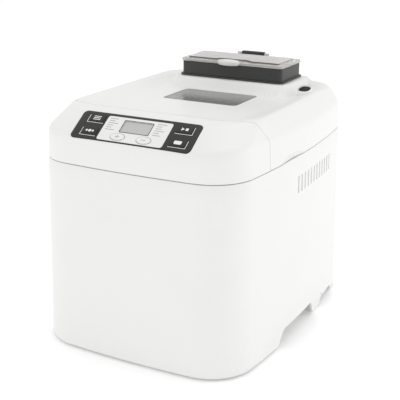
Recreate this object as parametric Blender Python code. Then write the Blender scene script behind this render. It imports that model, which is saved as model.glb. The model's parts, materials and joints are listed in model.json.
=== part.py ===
"""A bread machine: a white housing with a sloped control deck, a hinged lid that carries an ingredient
dispenser, and a lift-out pan whose paddle is driven by a belt.

Metres, +Z up. The origin is on the floor under the middle of the base, the front faces -Y.
"""

import math

import bmesh
import bpy
from mathutils import Vector

mm = 0.001

# Outline at the seam between housing and cap: a rectangle with bowed sides and round corners
HALF_WIDTH = 125 * mm
HALF_DEPTH = 163.6 * mm
CORNER_RADIUS = 47.1 * mm
FRONT_BOW = 1117 * mm
SIDE_BOW = 1035 * mm
FRONT_STEPS, CORNER_STEPS, SIDE_STEPS = 3, 6, 3
FLARE = 0.02  # outward slope of the housing wall, per unit of height below the seam

# Heights of the outside
SKIRT_Z = 3 * mm
SEAM_Z = 206.5 * mm
RIM_Z = 257 * mm
DISH_Z = 250.2 * mm
PLINTH_Z = 262 * mm

WALL = 2.6 * mm
GAP = 0.35 * mm

# The sloped face of the deck, and the rim round the top
SLOPE = math.radians(34.5)
SLOPE_FOOT = Vector((0, -162.5 * mm, 232.6 * mm))
SIDE_CREASE_Z = 237.2 * mm
CREASE_INSET = 1.2 * mm
RIM_HALF_WIDTH = 109.5 * mm
RIM_FRONT_Y = -127 * mm
RIM_BACK_Y = 136.5 * mm
RIM_FRONT_RADIUS = 50 * mm
RIM_BACK_RADIUS = 38 * mm

# Where the deck ends and the lid starts: the right half of the line, seen from above
SPLIT = [(75 * mm, -107 * mm), (106.6 * mm, -97 * mm), (120.2 * mm, -85.5 * mm), (140 * mm, -85.5 * mm)]
FAR = 220 * mm  # further out than any part of the object

# Oven chamber and pan, round one vertical drive axis
AXIS_Y = 20 * mm
CHAMBER = (95 * mm, 101 * mm)
CHAMBER_RADIUS = 22 * mm
CHAMBER_FLOOR_Z = 51.5 * mm
CHAMBER_TOP_Z = 203.1 * mm
SHEET = 1.2 * mm
PAN_FOOT = (60 * mm, 78 * mm)
PAN_MOUTH = (68 * mm, 86 * mm)
PAN_Z = 60 * mm
PAN_TOP_Z = 166 * mm
PAN_WALL = 1.4 * mm
HANDLE_REACH = 76 * mm
HANDLE_SPAN = 92 * mm
HANDLE_Z = 158 * mm
HANDLE_RADIUS = 2 * mm

SENSOR = (45 * mm, 120 * mm, 2.5 * mm)  # x, z and radius of the temperature sensor

# Drive
SHAFT_RADIUS = 4 * mm
RUNNING_GAP = 0.4 * mm
PULLEY_RADIUS = 38 * mm
MOTOR_PULLEY_RADIUS = 8 * mm
PULLEY_Z = 12.5 * mm
PULLEY_WIDTH = 9 * mm
MOTOR_Y = -120 * mm
DOG_STARTS = (4.2 * mm, -12.2 * mm)
MOTOR_RADIUS = 30 * mm

# Mains inlet in the rear wall
CORD_X, CORD_Z, CORD_RADIUS = -60 * mm, 32 * mm, 8 * mm

# Lid hinge, lid fittings
HINGE_Y = 162.6 * mm
HINGE_Z = 206.5 * mm
HINGE_X = 62 * mm
HINGE = Vector((0, HINGE_Y, HINGE_Z))
KNUCKLE_RADIUS = 3.8 * mm
PIN_RADIUS = 1.5 * mm
LINER_Z = 242 * mm
LINER_FLANGE_Z = 208.2 * mm
WINDOW = (46 * mm, 30.5 * mm)
WINDOW_Y = 17.5 * mm
VENT = (94 * mm, 68 * mm)
VENT_RADIUS = 8.5 * mm

# Ingredient dispenser: the neck sits further forward than the box above it
NECK_Y = 91 * mm
NECK = (57.5 * mm, 21.5 * mm)
NECK_Z = 241 * mm
BOX_Y = 97.6 * mm
BOX = (64.9 * mm, 29.8 * mm)
BOX_WALL = 2.6 * mm
BOX_TOP_Z = 279 * mm
FLANGE_REACH = 2.5 * mm
FLANGE_Z = PLINTH_Z + GAP
FLANGE_HEIGHT = 2.2 * mm
COVER_TOP_Z = 282.6 * mm
COVER_PIVOT = Vector((0, 132.7 * mm, 282.6 * mm))
FLAP_PIVOT = Vector((0, 109.5 * mm, 239.4 * mm))

# Controls, in the sloped face's own coordinates: x across, y up the slope, z out of it
PANEL_HALF_WIDTH = 68.7 * mm
PANEL_LOW, PANEL_HIGH = 4.5 * mm, 41 * mm
INSERT_HALF_WIDTH = 37.5 * mm
INSERT_LOW, INSERT_HIGH = 5.8 * mm, 37.8 * mm
DISPLAY_HALF_WIDTH = 16.5 * mm
DISPLAY_LOW, DISPLAY_HIGH = 18.7 * mm, 34 * mm
KEY = (9 * mm, 4.9 * mm)
OVAL = (7.9 * mm, 4.3 * mm)
KEY_ROWS = (14.8 * mm, 32.2 * mm)
OVAL_ROW = 11.8 * mm
KEY_COLUMNS = (-49 * mm, 52 * mm)
OVAL_COLUMN = 15 * mm

WHITE = ("white_plastic", (0.86, 0.86, 0.85), 0.38, 0.0)
CHARCOAL = ("charcoal_plastic", (0.035, 0.034, 0.034), 0.42, 0.0)
PALE = ("pale_plastic", (0.80, 0.80, 0.79), 0.45, 0.0)
SMOKE = ("smoke_plastic", (0.62, 0.60, 0.57), 0.12, 0.0)
GLASS = ("window_glass", (0.30, 0.30, 0.29), 0.08, 0.0)
LCD = ("display_grey", (0.50, 0.51, 0.49), 0.25, 0.0)
RUBBER = ("rubber", (0.05, 0.05, 0.05), 0.85, 0.0)
SILICONE = ("silicone", (0.55, 0.55, 0.53), 0.7, 0.0)
STEEL = ("steel", (0.58, 0.58, 0.58), 0.32, 1.0)
ALUMINIUM = ("aluminium", (0.72, 0.72, 0.73), 0.4, 1.0)
NONSTICK = ("nonstick", (0.06, 0.06, 0.065), 0.35, 0.2)
BLACK_METAL = ("motor_black", (0.04, 0.04, 0.045), 0.5, 0.6)
BOARD = ("circuit_board", (0.05, 0.22, 0.10), 0.55, 0.0)


# ---------------------------------------------------------------- outlines


def corner_centre():
    """Centre of the front right corner's arc, tangent to the front's bow and the side's bow."""
    front, side = Vector((0, FRONT_BOW - HALF_DEPTH)), Vector((HALF_WIDTH - SIDE_BOW, 0))
    to_front, to_side = FRONT_BOW - CORNER_RADIUS, SIDE_BOW - CORNER_RADIUS
    between = side - front
    along = (between.length_squared + to_front**2 - to_side**2) / (2 * between.length)
    unit = between.normalized()
    return front + unit * along + Vector((-unit.y, unit.x)) * math.sqrt(to_front**2 - along**2)


def arc(centre, radius, start, end, steps):
    """Points from angle start to angle end, both included."""
    angles = [start + (end - start) * i / steps for i in range(steps + 1)]
    return [(centre[0] + radius * math.cos(a), centre[1] + radius * math.sin(a)) for a in angles]


def mirrored(quarter):
    """A whole outline from the quarter that runs from the front's middle to the right side's middle."""
    half = quarter + [(x, -y) for x, y in reversed(quarter[:-1])]
    return half + [(-x, y) for x, y in reversed(half[1:-1])]


def body_outline(offset=0.0):
    """The bowed outline, grown by offset, anticlockwise from the middle of the front."""
    front, side = Vector((0, FRONT_BOW - HALF_DEPTH)), Vector((HALF_WIDTH - SIDE_BOW, 0))
    corner = corner_centre()
    turn_in = math.atan2(corner.y - front.y, corner.x - front.x)
    turn_out = math.atan2(corner.y - side.y, corner.x - side.x)
    quarter = arc(front, FRONT_BOW + offset, -math.pi / 2, turn_in, FRONT_STEPS)[:-1]
    quarter += arc(corner, CORNER_RADIUS + offset, turn_in, turn_out, CORNER_STEPS)
    quarter += arc(side, SIDE_BOW + offset, turn_out, 0, SIDE_STEPS)[1:]
    return mirrored(quarter)


def rim_quarter(half_width, half_depth, radius):
    """Straight sides and one round corner, with as many points as a quarter of the body outline."""
    x, y = half_width - radius, half_depth - radius
    points = [(x * i / FRONT_STEPS, -half_depth) for i in range(FRONT_STEPS)]
    points += arc((x, -y), radius, -math.pi / 2, 0, CORNER_STEPS)
    return points + [(half_width, -y * (1 - i / SIDE_STEPS)) for i in range(1, SIDE_STEPS + 1)]


def rim_outline(inset=0.0):
    """The outline of the flat top, whose front and back differ."""
    half_width = RIM_HALF_WIDTH - inset
    front = rim_quarter(half_width, -RIM_FRONT_Y - inset, RIM_FRONT_RADIUS - inset)
    back = rim_quarter(half_width, RIM_BACK_Y - inset, RIM_BACK_RADIUS - inset)
    right = front + [(x, -y) for x, y in reversed(back[:-1])]
    return right + [(-x, y) for x, y in reversed(right[1:-1])]


def rounded(half, radius, centre=(0.0, 0.0), steps=4):
    """Rounded rectangle round a centre, anticlockwise."""
    x, y = half[0] - radius, half[1] - radius
    corners = ((x, -y), (x, y), (-x, y), (-x, -y))
    points = []
    for turn, (cx, cy) in enumerate(corners):
        start = (turn - 1) * math.pi / 2
        points += arc((centre[0] + cx, centre[1] + cy), radius, start, start + math.pi / 2, steps)
    return points


def circle(radius, steps, centre=(0.0, 0.0)):
    return arc(centre, radius, 0, 2 * math.pi * (steps - 1) / steps, steps - 1)


def at(points, z):
    """An outline as a ring of 3-D points. z is a height, or a function of x and y."""
    return [Vector((x, y, z(x, y) if callable(z) else z)) for x, y in points]


def crease_height(x, y):
    """The crease lies in the plane of the sloped face at the front and rises to its side height."""
    on_slope = SLOPE_FOOT.z + (y - SLOPE_FOOT.y) * math.tan(SLOPE)
    return min(on_slope, SIDE_CREASE_Z)


# ---------------------------------------------------------------- solids


def finish(name, bm, colour, origin=(0, 0, 0), parent=None):
    """Turns a bmesh into an object with its own material, its origin at the given point."""
    bmesh.ops.recalc_face_normals(bm, faces=bm.faces)
    bmesh.ops.translate(bm, vec=-Vector(origin), verts=bm.verts)
    mesh = bpy.data.meshes.new(name)
    bm.to_mesh(mesh)
    bm.free()
    mesh.shade_smooth()
    mesh.set_sharp_from_angle(angle=math.radians(35))
    obj = bpy.data.objects.new(name, mesh)
    bpy.context.scene.collection.objects.link(obj)
    obj.location = origin
    obj.parent = parent
    if colour:
        finish_material(obj, colour)
    return obj


def finish_material(obj, colour):
    label, base, roughness, metallic = colour
    material = bpy.data.materials.new(f"{obj.name}_{label}")
    material.use_nodes = True
    shader = material.node_tree.nodes["Principled BSDF"]
    shader.inputs["Base Color"].default_value = (*base, 1)
    shader.inputs["Roughness"].default_value = roughness
    shader.inputs["Metallic"].default_value = metallic
    material.diffuse_color = (*base, 1)
    obj.data.materials.append(material)


def skin(bm, rings, tube=False):
    """Adds a body through rings of equal length. A tube joins its last ring back to its first."""
    loops = [[bm.verts.new(p) for p in ring] for ring in rings]
    pairs = list(zip(loops, loops[1:] + loops[:1])) if tube else list(zip(loops, loops[1:]))
    for low, high in pairs:
        for i in range(len(low)):
            j = (i + 1) % len(low)
            bm.faces.new((low[i], low[j], high[j], high[i]))
    if not tube:
        bm.faces.new(list(reversed(loops[0])))
        bm.faces.new(loops[-1])


def loft(name, rings, colour=None, tube=False, **where):
    bm = bmesh.new()
    skin(bm, rings, tube)
    return finish(name, bm, colour, **where)


def lofts(name, bodies):
    """Several bodies in one object, for a cutter."""
    bm = bmesh.new()
    for rings in bodies:
        skin(bm, rings)
    return finish(name, bm, None)


def prism(name, points, low, high, colour=None, **where):
    return loft(name, [at(points, low), at(points, high)], colour, **where)


def ring_plate(name, outer, inner, low, high, colour=None, **where):
    """A flat ring between two outlines of equal length."""
    rings = [at(outer, low), at(outer, high), at(inner, high), at(inner, low)]
    return loft(name, rings, colour, tube=True, **where)


def blocks(name, corners, colour=None, **where):
    """Boxes from (low, high) corner pairs, as one object."""
    bm = bmesh.new()
    for low, high in corners:
        plan = [(low[0], low[1]), (high[0], low[1]), (high[0], high[1]), (low[0], high[1])]
        skin(bm, [at(plan, low[2]), at(plan, high[2])])
    return finish(name, bm, colour, **where)


def lathe(name, centre, profile, colour=None, steps=24, hollow=True, **where):
    """A turned body on a vertical axis. A hollow one has a closed profile clear of the axis."""
    rings = [at(circle(r, steps, centre), z) for r, z in profile]
    return loft(name, rings, colour, tube=hollow, **where)


def rod_rings(start, end, radius, steps=12):
    """The two end rings of a cylinder between two points."""
    start, end = Vector(start), Vector(end)
    turn = (end - start).to_track_quat("Z", "Y")
    flat = [Vector((x, y, 0)) for x, y in circle(radius, steps)]
    return [[turn @ p + centre for p in flat] for centre in (start, end)]


def rod(name, start, end, radius, colour=None, steps=12, **where):
    return loft(name, rod_rings(start, end, radius, steps), colour, **where)


def extruded(name, section, y_low, y_high, colour=None, **where):
    """A section drawn in X and Z, extruded along Y."""
    rings = [[Vector((x, y, z)) for x, z in section] for y in (y_low, y_high)]
    return loft(name, rings, colour, **where)


def combine(target, operand, operation):
    modifier = target.modifiers.new(operand.name, "BOOLEAN")
    modifier.operation = operation
    modifier.solver = "EXACT"
    modifier.object = operand
    operand.hide_render = True
    operand.display_type = "WIRE"
    return target


def cut(target, *cutters):
    for cutter in cutters:
        combine(target, cutter, "DIFFERENCE")
    return target


def add(target, *operands):
    for operand in operands:
        combine(target, operand, "UNION")
    return target


def keep(target, operand):
    return combine(target, operand, "INTERSECT")


def wire(name, points, radius, colour, origin=(0, 0, 0)):
    """A bent rod along a line of points."""
    curve = bpy.data.curves.new(name, "CURVE")
    curve.dimensions = "3D"
    curve.bevel_depth = radius
    curve.bevel_resolution = 2
    curve.use_fill_caps = True
    spline = curve.splines.new("POLY")
    spline.points.add(len(points) - 1)
    for point, place in zip(spline.points, points):
        point.co = (*(Vector(place) - Vector(origin)), 1)
    obj = bpy.data.objects.new(name, curve)
    bpy.context.scene.collection.objects.link(obj)
    obj.location = origin
    finish_material(obj, colour)
    return obj


# ---------------------------------------------------------------- housing


def outer_housing():
    """The one-piece wall, open at top and bottom."""
    flare = FLARE * (SEAM_Z - SKIRT_Z)
    top = SEAM_Z - GAP
    rings = [
        at(body_outline(flare), SKIRT_Z),
        at(body_outline(), top),
        at(body_outline(-WALL), top),
        at(body_outline(flare - WALL), SKIRT_Z),
    ]
    housing = loft("outer_housing", rings, WHITE, tube=True)
    cut(housing, side_slots(), rear_slots(), skirt_cutouts(), hinge_notches(), cord_hole())
    return housing


def side_slots():
    """Twelve upright vent slots at the upper rear of each side."""
    count, first, pitch, width = 12, -18 * mm, 9.2 * mm, 3.4 * mm
    low, high = 165 * mm, 184.5 * mm
    corners = []
    for side in (-1, 1):
        x = sorted((side * 112 * mm, side * 135 * mm))
        for i in range(count):
            y = first + pitch * i
            corners.append(((x[0], y - width / 2, low), (x[1], y + width / 2, high)))
    return blocks("cut_side_slots", corners)


def rear_slots():
    """Air slots low in the rear wall, behind the power board."""
    count, first, pitch, width = 9, 14 * mm, 7 * mm, 3 * mm
    corners = []
    for i in range(count):
        x = first + pitch * i
        corners.append(((x - width / 2, 150 * mm, 45 * mm), (x + width / 2, 175 * mm, 75 * mm)))
    return blocks("cut_rear_slots", corners)


def skirt_cutouts():
    """A long hand-hold and a lower one behind it, in the skirt of each side."""
    top, rear_top, below = 18.5 * mm, 10 * mm, -5 * mm
    hand_hold = [(-68, below), (38.5, below), (30, top), (-49, top), (-55, 13 * mm)]
    rear_gap = [(60, below), (112, below), (107, rear_top), (64, rear_top)]
    bodies = []
    for shape in (hand_hold, rear_gap):
        for side in (-1, 1):
            walls = (side * 108 * mm, side * 140 * mm)
            bodies.append([[Vector((x, y * mm, z)) for y, z in shape] for x in walls])
    return lofts("cut_skirt", bodies)


def hinge_notches():
    """Room for the hinge knuckles in the top of the rear wall."""
    reach, below = 13 * mm, 4.4 * mm
    corners = []
    for side in (-1, 1):
        x = side * HINGE_X
        low = (x - reach, 150 * mm, HINGE_Z - below)
        corners.append((low, (x + reach, 175 * mm, HINGE_Z + 5 * mm)))
    return blocks("cut_hinge_notches", corners)


def cord_hole():
    return rod("cut_cord", (CORD_X, 150 * mm, CORD_Z), (CORD_X, 175 * mm, CORD_Z), CORD_RADIUS)


def cord_bushing():
    """The inlet that a mains lead would pass through."""
    body = rod(
        "cord_bushing",
        (CORD_X, 156 * mm, CORD_Z),
        (CORD_X, 167.2 * mm, CORD_Z),
        CORD_RADIUS - GAP,
        CHARCOAL,
    )
    lumen = rod("cut_lumen", (CORD_X, 150 * mm, CORD_Z), (CORD_X, 175 * mm, CORD_Z), 3.5 * mm)
    return cut(body, lumen)


def base_plate():
    """Sheet bottom: a low tray in the middle, raised at both sides above the hand-holds."""
    inner, outer, side = 96 * mm, 98 * mm, 135 * mm
    low, raised, sheet = 6 * mm, 20.5 * mm, 1.5 * mm
    half = [(inner, low), (outer + sheet, low), (outer + sheet, raised), (side, raised)]
    back = [(side, raised + sheet), (outer, raised + sheet), (outer, low + sheet)]
    right = half[1:] + back
    section = [(-x, z) for x, z in reversed(half[1:])] + right
    section += [(-x, z) for x, z in reversed(back)]
    plate = extruded("base_plate", section, -FAR, FAR, STEEL)
    inset = FLARE * (SEAM_Z - raised) - WALL - 2 * GAP
    keep(plate, prism("keep_base", body_outline(inset), 0, 40 * mm))
    vents = [((x * mm, -60 * mm, 0), ((x + 4) * mm, -20 * mm, 12 * mm)) for x in range(-74, 75, 12)]
    return cut(plate, blocks("cut_base_vents", vents))


def feet():
    """Four rubber feet under the tray, and a white block behind each side's hand-hold."""
    top = 6 * mm - GAP
    for end, y in (("front", -125 * mm), ("rear", 130 * mm)):
        for side, x in (("left", -78 * mm), ("right", 78 * mm)):
            profile = [(8 * mm, 0), (9 * mm, 1 * mm), (9 * mm, top)]
            lathe(f"foot_{end}_{side}", (x, y), profile, RUBBER, steps=16, hollow=False)
    for side, sign in (("left", -1), ("right", 1)):
        x = sorted((sign * 113 * mm, sign * 124.4 * mm))
        low = (x[0], 42 * mm, 0)
        blocks(f"side_foot_{side}", [(low, (x[1], 56 * mm, 20.5 * mm - GAP))], PALE)


# ---------------------------------------------------------------- cap


def split_prism(name, forward, shift):
    """All that lies in front of the line between deck and lid, or behind it, moved by shift."""
    right = [(x, y + shift) for x, y in SPLIT]
    line = [(-x, y) for x, y in reversed(right)] + right
    far_y = -FAR if forward else FAR
    x = SPLIT[-1][0]
    points = line + [(x, far_y), (-x, far_y)]
    return prism(name, points, 150 * mm, 300 * mm)


def cap_rings(top):
    """Outer rings of the cap, from the seam to a flat top."""
    return [
        at(body_outline(), SEAM_Z + GAP),
        at(body_outline(-CREASE_INSET), crease_height),
        at(rim_outline(), top),
    ]


def hollow_rings(top):
    """Rings of the space inside the cap. Their top may lie below the rim, on the chamfer."""
    crease = at(body_outline(-CREASE_INSET - WALL), lambda x, y: crease_height(x, y) - 1 * mm)
    rim = at(rim_outline(1.5 * mm), RIM_Z - WALL)
    share = (top - SIDE_CREASE_Z) / (RIM_Z - WALL - SIDE_CREASE_Z)
    high = [low.lerp(end, share) for low, end in zip(crease, rim)]
    for point in high:
        point.z = top
    return [at(body_outline(-WALL), SEAM_Z - 5 * mm), crease, high]


def control_deck(slope_frame):
    """The front of the cap: a sloped face for the controls, a flat strip and a rear wall."""
    deck = loft("control_deck", cap_rings(RIM_Z), WHITE)
    keep(deck, split_prism("keep_deck", True, -GAP))
    hollow = loft("cut_deck_hollow", hollow_rings(RIM_Z - WALL))
    keep(hollow, split_prism("keep_deck_hollow", True, -GAP - WALL))
    hole = prism("cut_panel", panel_outline(GAP), -12 * mm, 8 * mm, parent=slope_frame)
    return cut(deck, hollow, hole)


def lid_shell():
    """The rear of the cap: a rim, a dished top, a plinth under the dispenser, and hinge knuckles."""
    lid = loft("lid_shell", cap_rings(RIM_Z), WHITE, origin=HINGE)
    keep(lid, split_prism("keep_lid", False, GAP))
    hollow = loft("cut_lid_hollow", hollow_rings(DISH_Z - WALL))
    keep(hollow, split_prism("keep_lid_hollow", False, GAP + WALL))
    cut(lid, dish(), hollow)
    add(lid, plinth())
    cut(lid, plinth_hollow())
    window = rounded((WINDOW[0] + GAP, WINDOW[1] + GAP), 6 * mm, (0, WINDOW_Y))
    neck = rounded((NECK[0] + GAP, NECK[1] + GAP), 5 * mm, (0, NECK_Y))
    cut(
        lid,
        prism("cut_window", window, 230 * mm, 265 * mm),
        prism("cut_neck", neck, 230 * mm, 265 * mm),
        prism("cut_vent", circle(VENT_RADIUS + GAP, 16, VENT), 230 * mm, 270 * mm),
        finger_scoops(),
        lid_knuckle_room(),
        rear_chamfer(),
    )
    for side in (-1, 1):
        for reach in (-8, 8):
            middle = side * HINGE_X + reach * mm
            knuckle = rod(
                f"add_knuckle_{side}_{reach}",
                (middle - 4 * mm, HINGE_Y, HINGE_Z),
                (middle + 4 * mm, HINGE_Y, HINGE_Z),
                KNUCKLE_RADIUS,
            )
            add(lid, knuckle)
    return cut(lid, lofts("cut_lid_pin_holes", hinge_rods(PIN_RADIUS + GAP, 20 * mm)))


def dish():
    """The shallow hollow of the lid's top."""
    rings = []
    for half_width, front, back, radius, z in (
        (88 * mm, -78 * mm, 118 * mm, 26 * mm, DISH_Z),
        (107 * mm, -100 * mm, 134 * mm, 38 * mm, RIM_Z),
        (107 * mm, -100 * mm, 134 * mm, 38 * mm, RIM_Z + 5 * mm),
    ):
        half = (half_width, (back - front) / 2)
        rings.append(at(rounded(half, radius, (0, (front + back) / 2), steps=6), z))
    return loft("cut_dish", rings)


def plinth_outline(half_width, front, back, radius):
    return rounded((half_width, (back - front) / 2), radius, (0, (front + back) / 2))


def plinth():
    foot = plinth_outline(79 * mm, 54 * mm, 140 * mm, 14 * mm)
    head = plinth_outline(72 * mm, 62 * mm, 137.5 * mm, 8 * mm)
    return loft("add_plinth", [at(foot, DISH_Z - 1.7 * mm), at(foot, DISH_Z), at(head, PLINTH_Z)])


def plinth_hollow():
    """The space under the plinth, open to the inside of the lid."""
    foot = plinth_outline(74 * mm, 60 * mm, 134 * mm, 12 * mm)
    head = plinth_outline(69 * mm, 65 * mm, 134 * mm, 8 * mm)
    return loft("cut_plinth", [at(foot, DISH_Z - WALL - 1 * mm), at(foot, DISH_Z), at(head, PLINTH_Z - WALL)])


def finger_scoops():
    """A shallow thumb hollow in the lower edge of each side of the lid."""
    depth, middle, half_length, top = 1.6 * mm, -40 * mm, 32 * mm, 212 * mm
    surface, outside = HALF_WIDTH - 0.9 * mm, HALF_WIDTH + 10 * mm
    turns = [math.radians(a) for a in range(-90, 91, 20)]
    plan = [(surface - depth * math.cos(t), middle + half_length * math.sin(t)) for t in turns]
    plan += [(outside, middle + half_length), (outside, middle - half_length)]
    sides = [[(sign * x, y) for x, y in plan] for sign in (-1, 1)]
    return lofts("cut_scoops", [[at(side, 200 * mm), at(side, top)] for side in sides])


def rear_chamfer():
    """Takes the lid's rear lower edge off, so that it clears the housing as the lid swings back."""
    start = Vector((HINGE_Y - 1.4 * mm, HINGE_Z - 0.5 * mm))
    size = 12 * mm
    section = [(start.x, start.y), (start.x + size, start.y), (start.x + size, start.y + size)]
    return loft("cut_chamfer", [[Vector((x, y, z)) for y, z in section] for x in (-FAR, FAR)])


def lid_knuckle_room():
    """Room in the lid's rear wall for the housing's knuckles."""
    corners = []
    for side in (-1, 1):
        x = side * HINGE_X
        low = (x - 4.1 * mm, 156 * mm, 200 * mm)
        corners.append((low, (x + 4.1 * mm, 170 * mm, HINGE_Z + KNUCKLE_RADIUS + 0.6 * mm)))
    return blocks("cut_lid_knuckle_room", corners)


def hinge_rods(radius, reach):
    """The two hinge pins' rings, one pin on each side."""
    middles = [Vector((side * HINGE_X, HINGE_Y, HINGE_Z)) for side in (-1, 1)]
    half = Vector((reach, 0, 0))
    return [rod_rings(middle - half, middle + half, radius) for middle in middles]


def hinges():
    """A leaf with one knuckle on the housing, and a pin, on each side."""
    for name, side in (("left", -1), ("right", 1)):
        x = side * HINGE_X
        half = 3.7 * mm
        knuckle = ((x - half, HINGE_Y, HINGE_Z), (x + half, HINGE_Y, HINGE_Z))
        leaf = blocks(
            f"hinge_bracket_{name}",
            [((x - half, 156.4 * mm, 185 * mm), (x + half, 158.6 * mm, 206 * mm))],
            STEEL,
        )
        arm = ((x - half, 157 * mm, 203.2 * mm), (x + half, 162 * mm, 205.6 * mm))
        add(leaf, blocks(f"add_arm_{name}", [arm]), rod(f"add_barrel_{name}", *knuckle, KNUCKLE_RADIUS))
        cut(leaf, lofts(f"cut_barrel_{name}", hinge_rods(PIN_RADIUS + GAP, 20 * mm)))
        reach = Vector((12.5 * mm, 0, 0))
        middle = Vector((x, HINGE_Y, HINGE_Z))
        rod(f"hinge_pin_{name}", middle - reach, middle + reach, PIN_RADIUS, STEEL, steps=10)


def steam_vent():
    """A raised hood with an open mouth, and the dark insert in its throat."""
    throat = VENT_RADIUS - 2.4 * mm
    profile = [(VENT_RADIUS, 248 * mm), (VENT_RADIUS, 259 * mm), (VENT_RADIUS - 1 * mm, 261.5 * mm)]
    profile += [(throat, 261.5 * mm), (throat, 248 * mm)]
    lathe("steam_vent", VENT, profile, WHITE, steps=16)
    disc = [(throat - GAP, 251 * mm), (throat - GAP, 253 * mm)]
    lathe("vent_baffle", VENT, disc, CHARCOAL, steps=12, hollow=False)


def lid_fittings():
    """Window, gasket, inner liner, seal and the solenoid of the dispenser's flap."""
    centre = (0, WINDOW_Y)
    glass = rounded(WINDOW, 6 * mm, centre)
    prism("lid_window", glass, DISH_Z - WALL + GAP, DISH_Z - GAP, GLASS)
    outer = rounded((WINDOW[0] + 4 * mm, WINDOW[1] + 4 * mm), 8 * mm, centre)
    inner = rounded((WINDOW[0] - 4 * mm, WINDOW[1] - 4 * mm), 4 * mm, centre)
    liner_top = LINER_Z + SHEET
    ring_plate("window_gasket", outer, inner, liner_top + GAP, DISH_Z - WALL - GAP, SILICONE)

    flange = prism("lid_liner", body_outline(-WALL - 2 * mm), LINER_FLANGE_Z, LINER_FLANGE_Z + SHEET, STEEL)
    keep(flange, split_prism("keep_liner", False, GAP + WALL + 2 * mm))
    middle = (0, AXIS_Y)
    tray = [
        at(rounded((101 * mm, 107 * mm), 24 * mm, middle), LINER_FLANGE_Z),
        at(rounded((94 * mm, 100.5 * mm), 22 * mm, middle), liner_top),
    ]
    hollow = [
        at(rounded((99.8 * mm, 105.8 * mm), 22.8 * mm, middle), 207 * mm),
        at(rounded((92.8 * mm, 99.3 * mm), 20.8 * mm, middle), LINER_Z),
    ]
    add(flange, loft("add_tray", tray))
    pane = rounded((WINDOW[0] - 4 * mm, WINDOW[1] - 4 * mm), 4 * mm, centre)
    neck = rounded((NECK[0] + GAP, NECK[1] + GAP), 5 * mm, (0, NECK_Y))
    cut(
        flange,
        loft("cut_tray", hollow),
        prism("cut_liner_pane", pane, 230 * mm, 250 * mm),
        prism("cut_liner_neck", neck, 230 * mm, 250 * mm),
    )
    seal_out = rounded((109 * mm, 109.8 * mm), 26 * mm, middle)
    seal_in = rounded((103 * mm, 104 * mm), 22 * mm, middle)
    ring_plate("lid_seal", seal_out, seal_in, SEAM_Z, LINER_FLANGE_Z - GAP, SILICONE)
    blocks("flap_solenoid", [((-20 * mm, 132 * mm, 214 * mm), (20 * mm, 150 * mm, 236 * mm))], BLACK_METAL)


def dispenser():
    """A box on the plinth, whose neck opens into the chamber through a sprung flap."""
    middle = (0, BOX_Y)
    flange_top = FLANGE_Z + FLANGE_HEIGHT
    flange = rounded((BOX[0] + FLANGE_REACH, BOX[1] + FLANGE_REACH), 7 * mm, middle)
    box = prism("dispenser_box", flange, FLANGE_Z, flange_top, CHARCOAL)
    bar_front, bar_back = COVER_PIVOT.y - 2.2 * mm, COVER_PIVOT.y + 3.5 * mm
    bar = ((-15 * mm, bar_front, FLANGE_Z + 0.5 * mm), (15 * mm, bar_back, COVER_PIVOT.z + 3.4 * mm))
    foot = ((-15 * mm, 125 * mm, FLANGE_Z), (15 * mm, bar_back, flange_top))
    add(
        box,
        prism("add_box", rounded(BOX, 5.5 * mm, middle), FLANGE_Z + 1 * mm, BOX_TOP_Z),
        prism("add_neck", rounded(NECK, 5 * mm, (0, NECK_Y)), NECK_Z, FLANGE_Z + 1 * mm),
        blocks("add_bar_foot", [foot]),
        blocks("add_bar", [bar]),
    )
    outlet = rounded((50 * mm, 15 * mm), 4 * mm, (0, NECK_Y))
    throat = rounded((54.5 * mm, 18.5 * mm), 4 * mm, (0, NECK_Y))
    inside = rounded((BOX[0] - BOX_WALL, BOX[1] - BOX_WALL), 4 * mm, middle)
    room = [
        at(outlet, NECK_Z - 5 * mm),
        at(outlet, NECK_Z + 1 * mm),
        at(throat, FLANGE_Z - 1 * mm),
        at(inside, FLANGE_Z + 5 * mm),
        at(inside, BOX_TOP_Z + 5 * mm),
    ]
    reach = Vector((21 * mm, 0, 0))
    hole = rod("cut_bar", COVER_PIVOT - reach, COVER_PIVOT + reach, 1.35 * mm)
    cut(box, loft("cut_box", room), hole)
    rod("dispenser_pin", COVER_PIVOT - reach, COVER_PIVOT + reach, 1 * mm, STEEL, steps=8)


def dispenser_cover():
    """The clear cover: a flat tray with a raised field, a thumb tab and two knuckles."""
    middle = (0, BOX_Y)
    plate = rounded((BOX[0] + 1.2 * mm, BOX[1] + 0.8 * mm), 5.5 * mm, middle)
    cover = prism("dispenser_cover", plate, BOX_TOP_Z + GAP, COVER_TOP_Z, SMOKE, origin=COVER_PIVOT)
    field = [
        at(rounded((59 * mm, 23.5 * mm), 3 * mm, middle), COVER_TOP_Z - 1 * mm),
        at(rounded((58.2 * mm, 22.7 * mm), 2.5 * mm, middle), COVER_TOP_Z + 1.6 * mm),
    ]
    tab = oval((12.5 * mm, 6 * mm), (0, BOX_Y - BOX[1] - 1.5 * mm))
    add(cover, loft("add_field", field), prism("add_tab", tab, BOX_TOP_Z + GAP, COVER_TOP_Z + 1.6 * mm))
    for side in (-1, 1):
        ends = [Vector((side * x * mm, COVER_PIVOT.y, COVER_PIVOT.z)) for x in (15.6, 20.4)]
        arm_x = sorted(end.x for end in ends)
        low = (arm_x[0], COVER_PIVOT.y - 8 * mm, COVER_PIVOT.z - 1.8 * mm)
        arm = blocks(f"add_arm_{side}", [(low, (arm_x[1], COVER_PIVOT.y, COVER_TOP_Z))])
        add(cover, arm, rod(f"add_cover_knuckle_{side}", *ends, 2.4 * mm))
    reach = Vector((24 * mm, 0, 0))
    cut(cover, rod("cut_cover_pin", COVER_PIVOT - reach, COVER_PIVOT + reach, 1.35 * mm))


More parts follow.
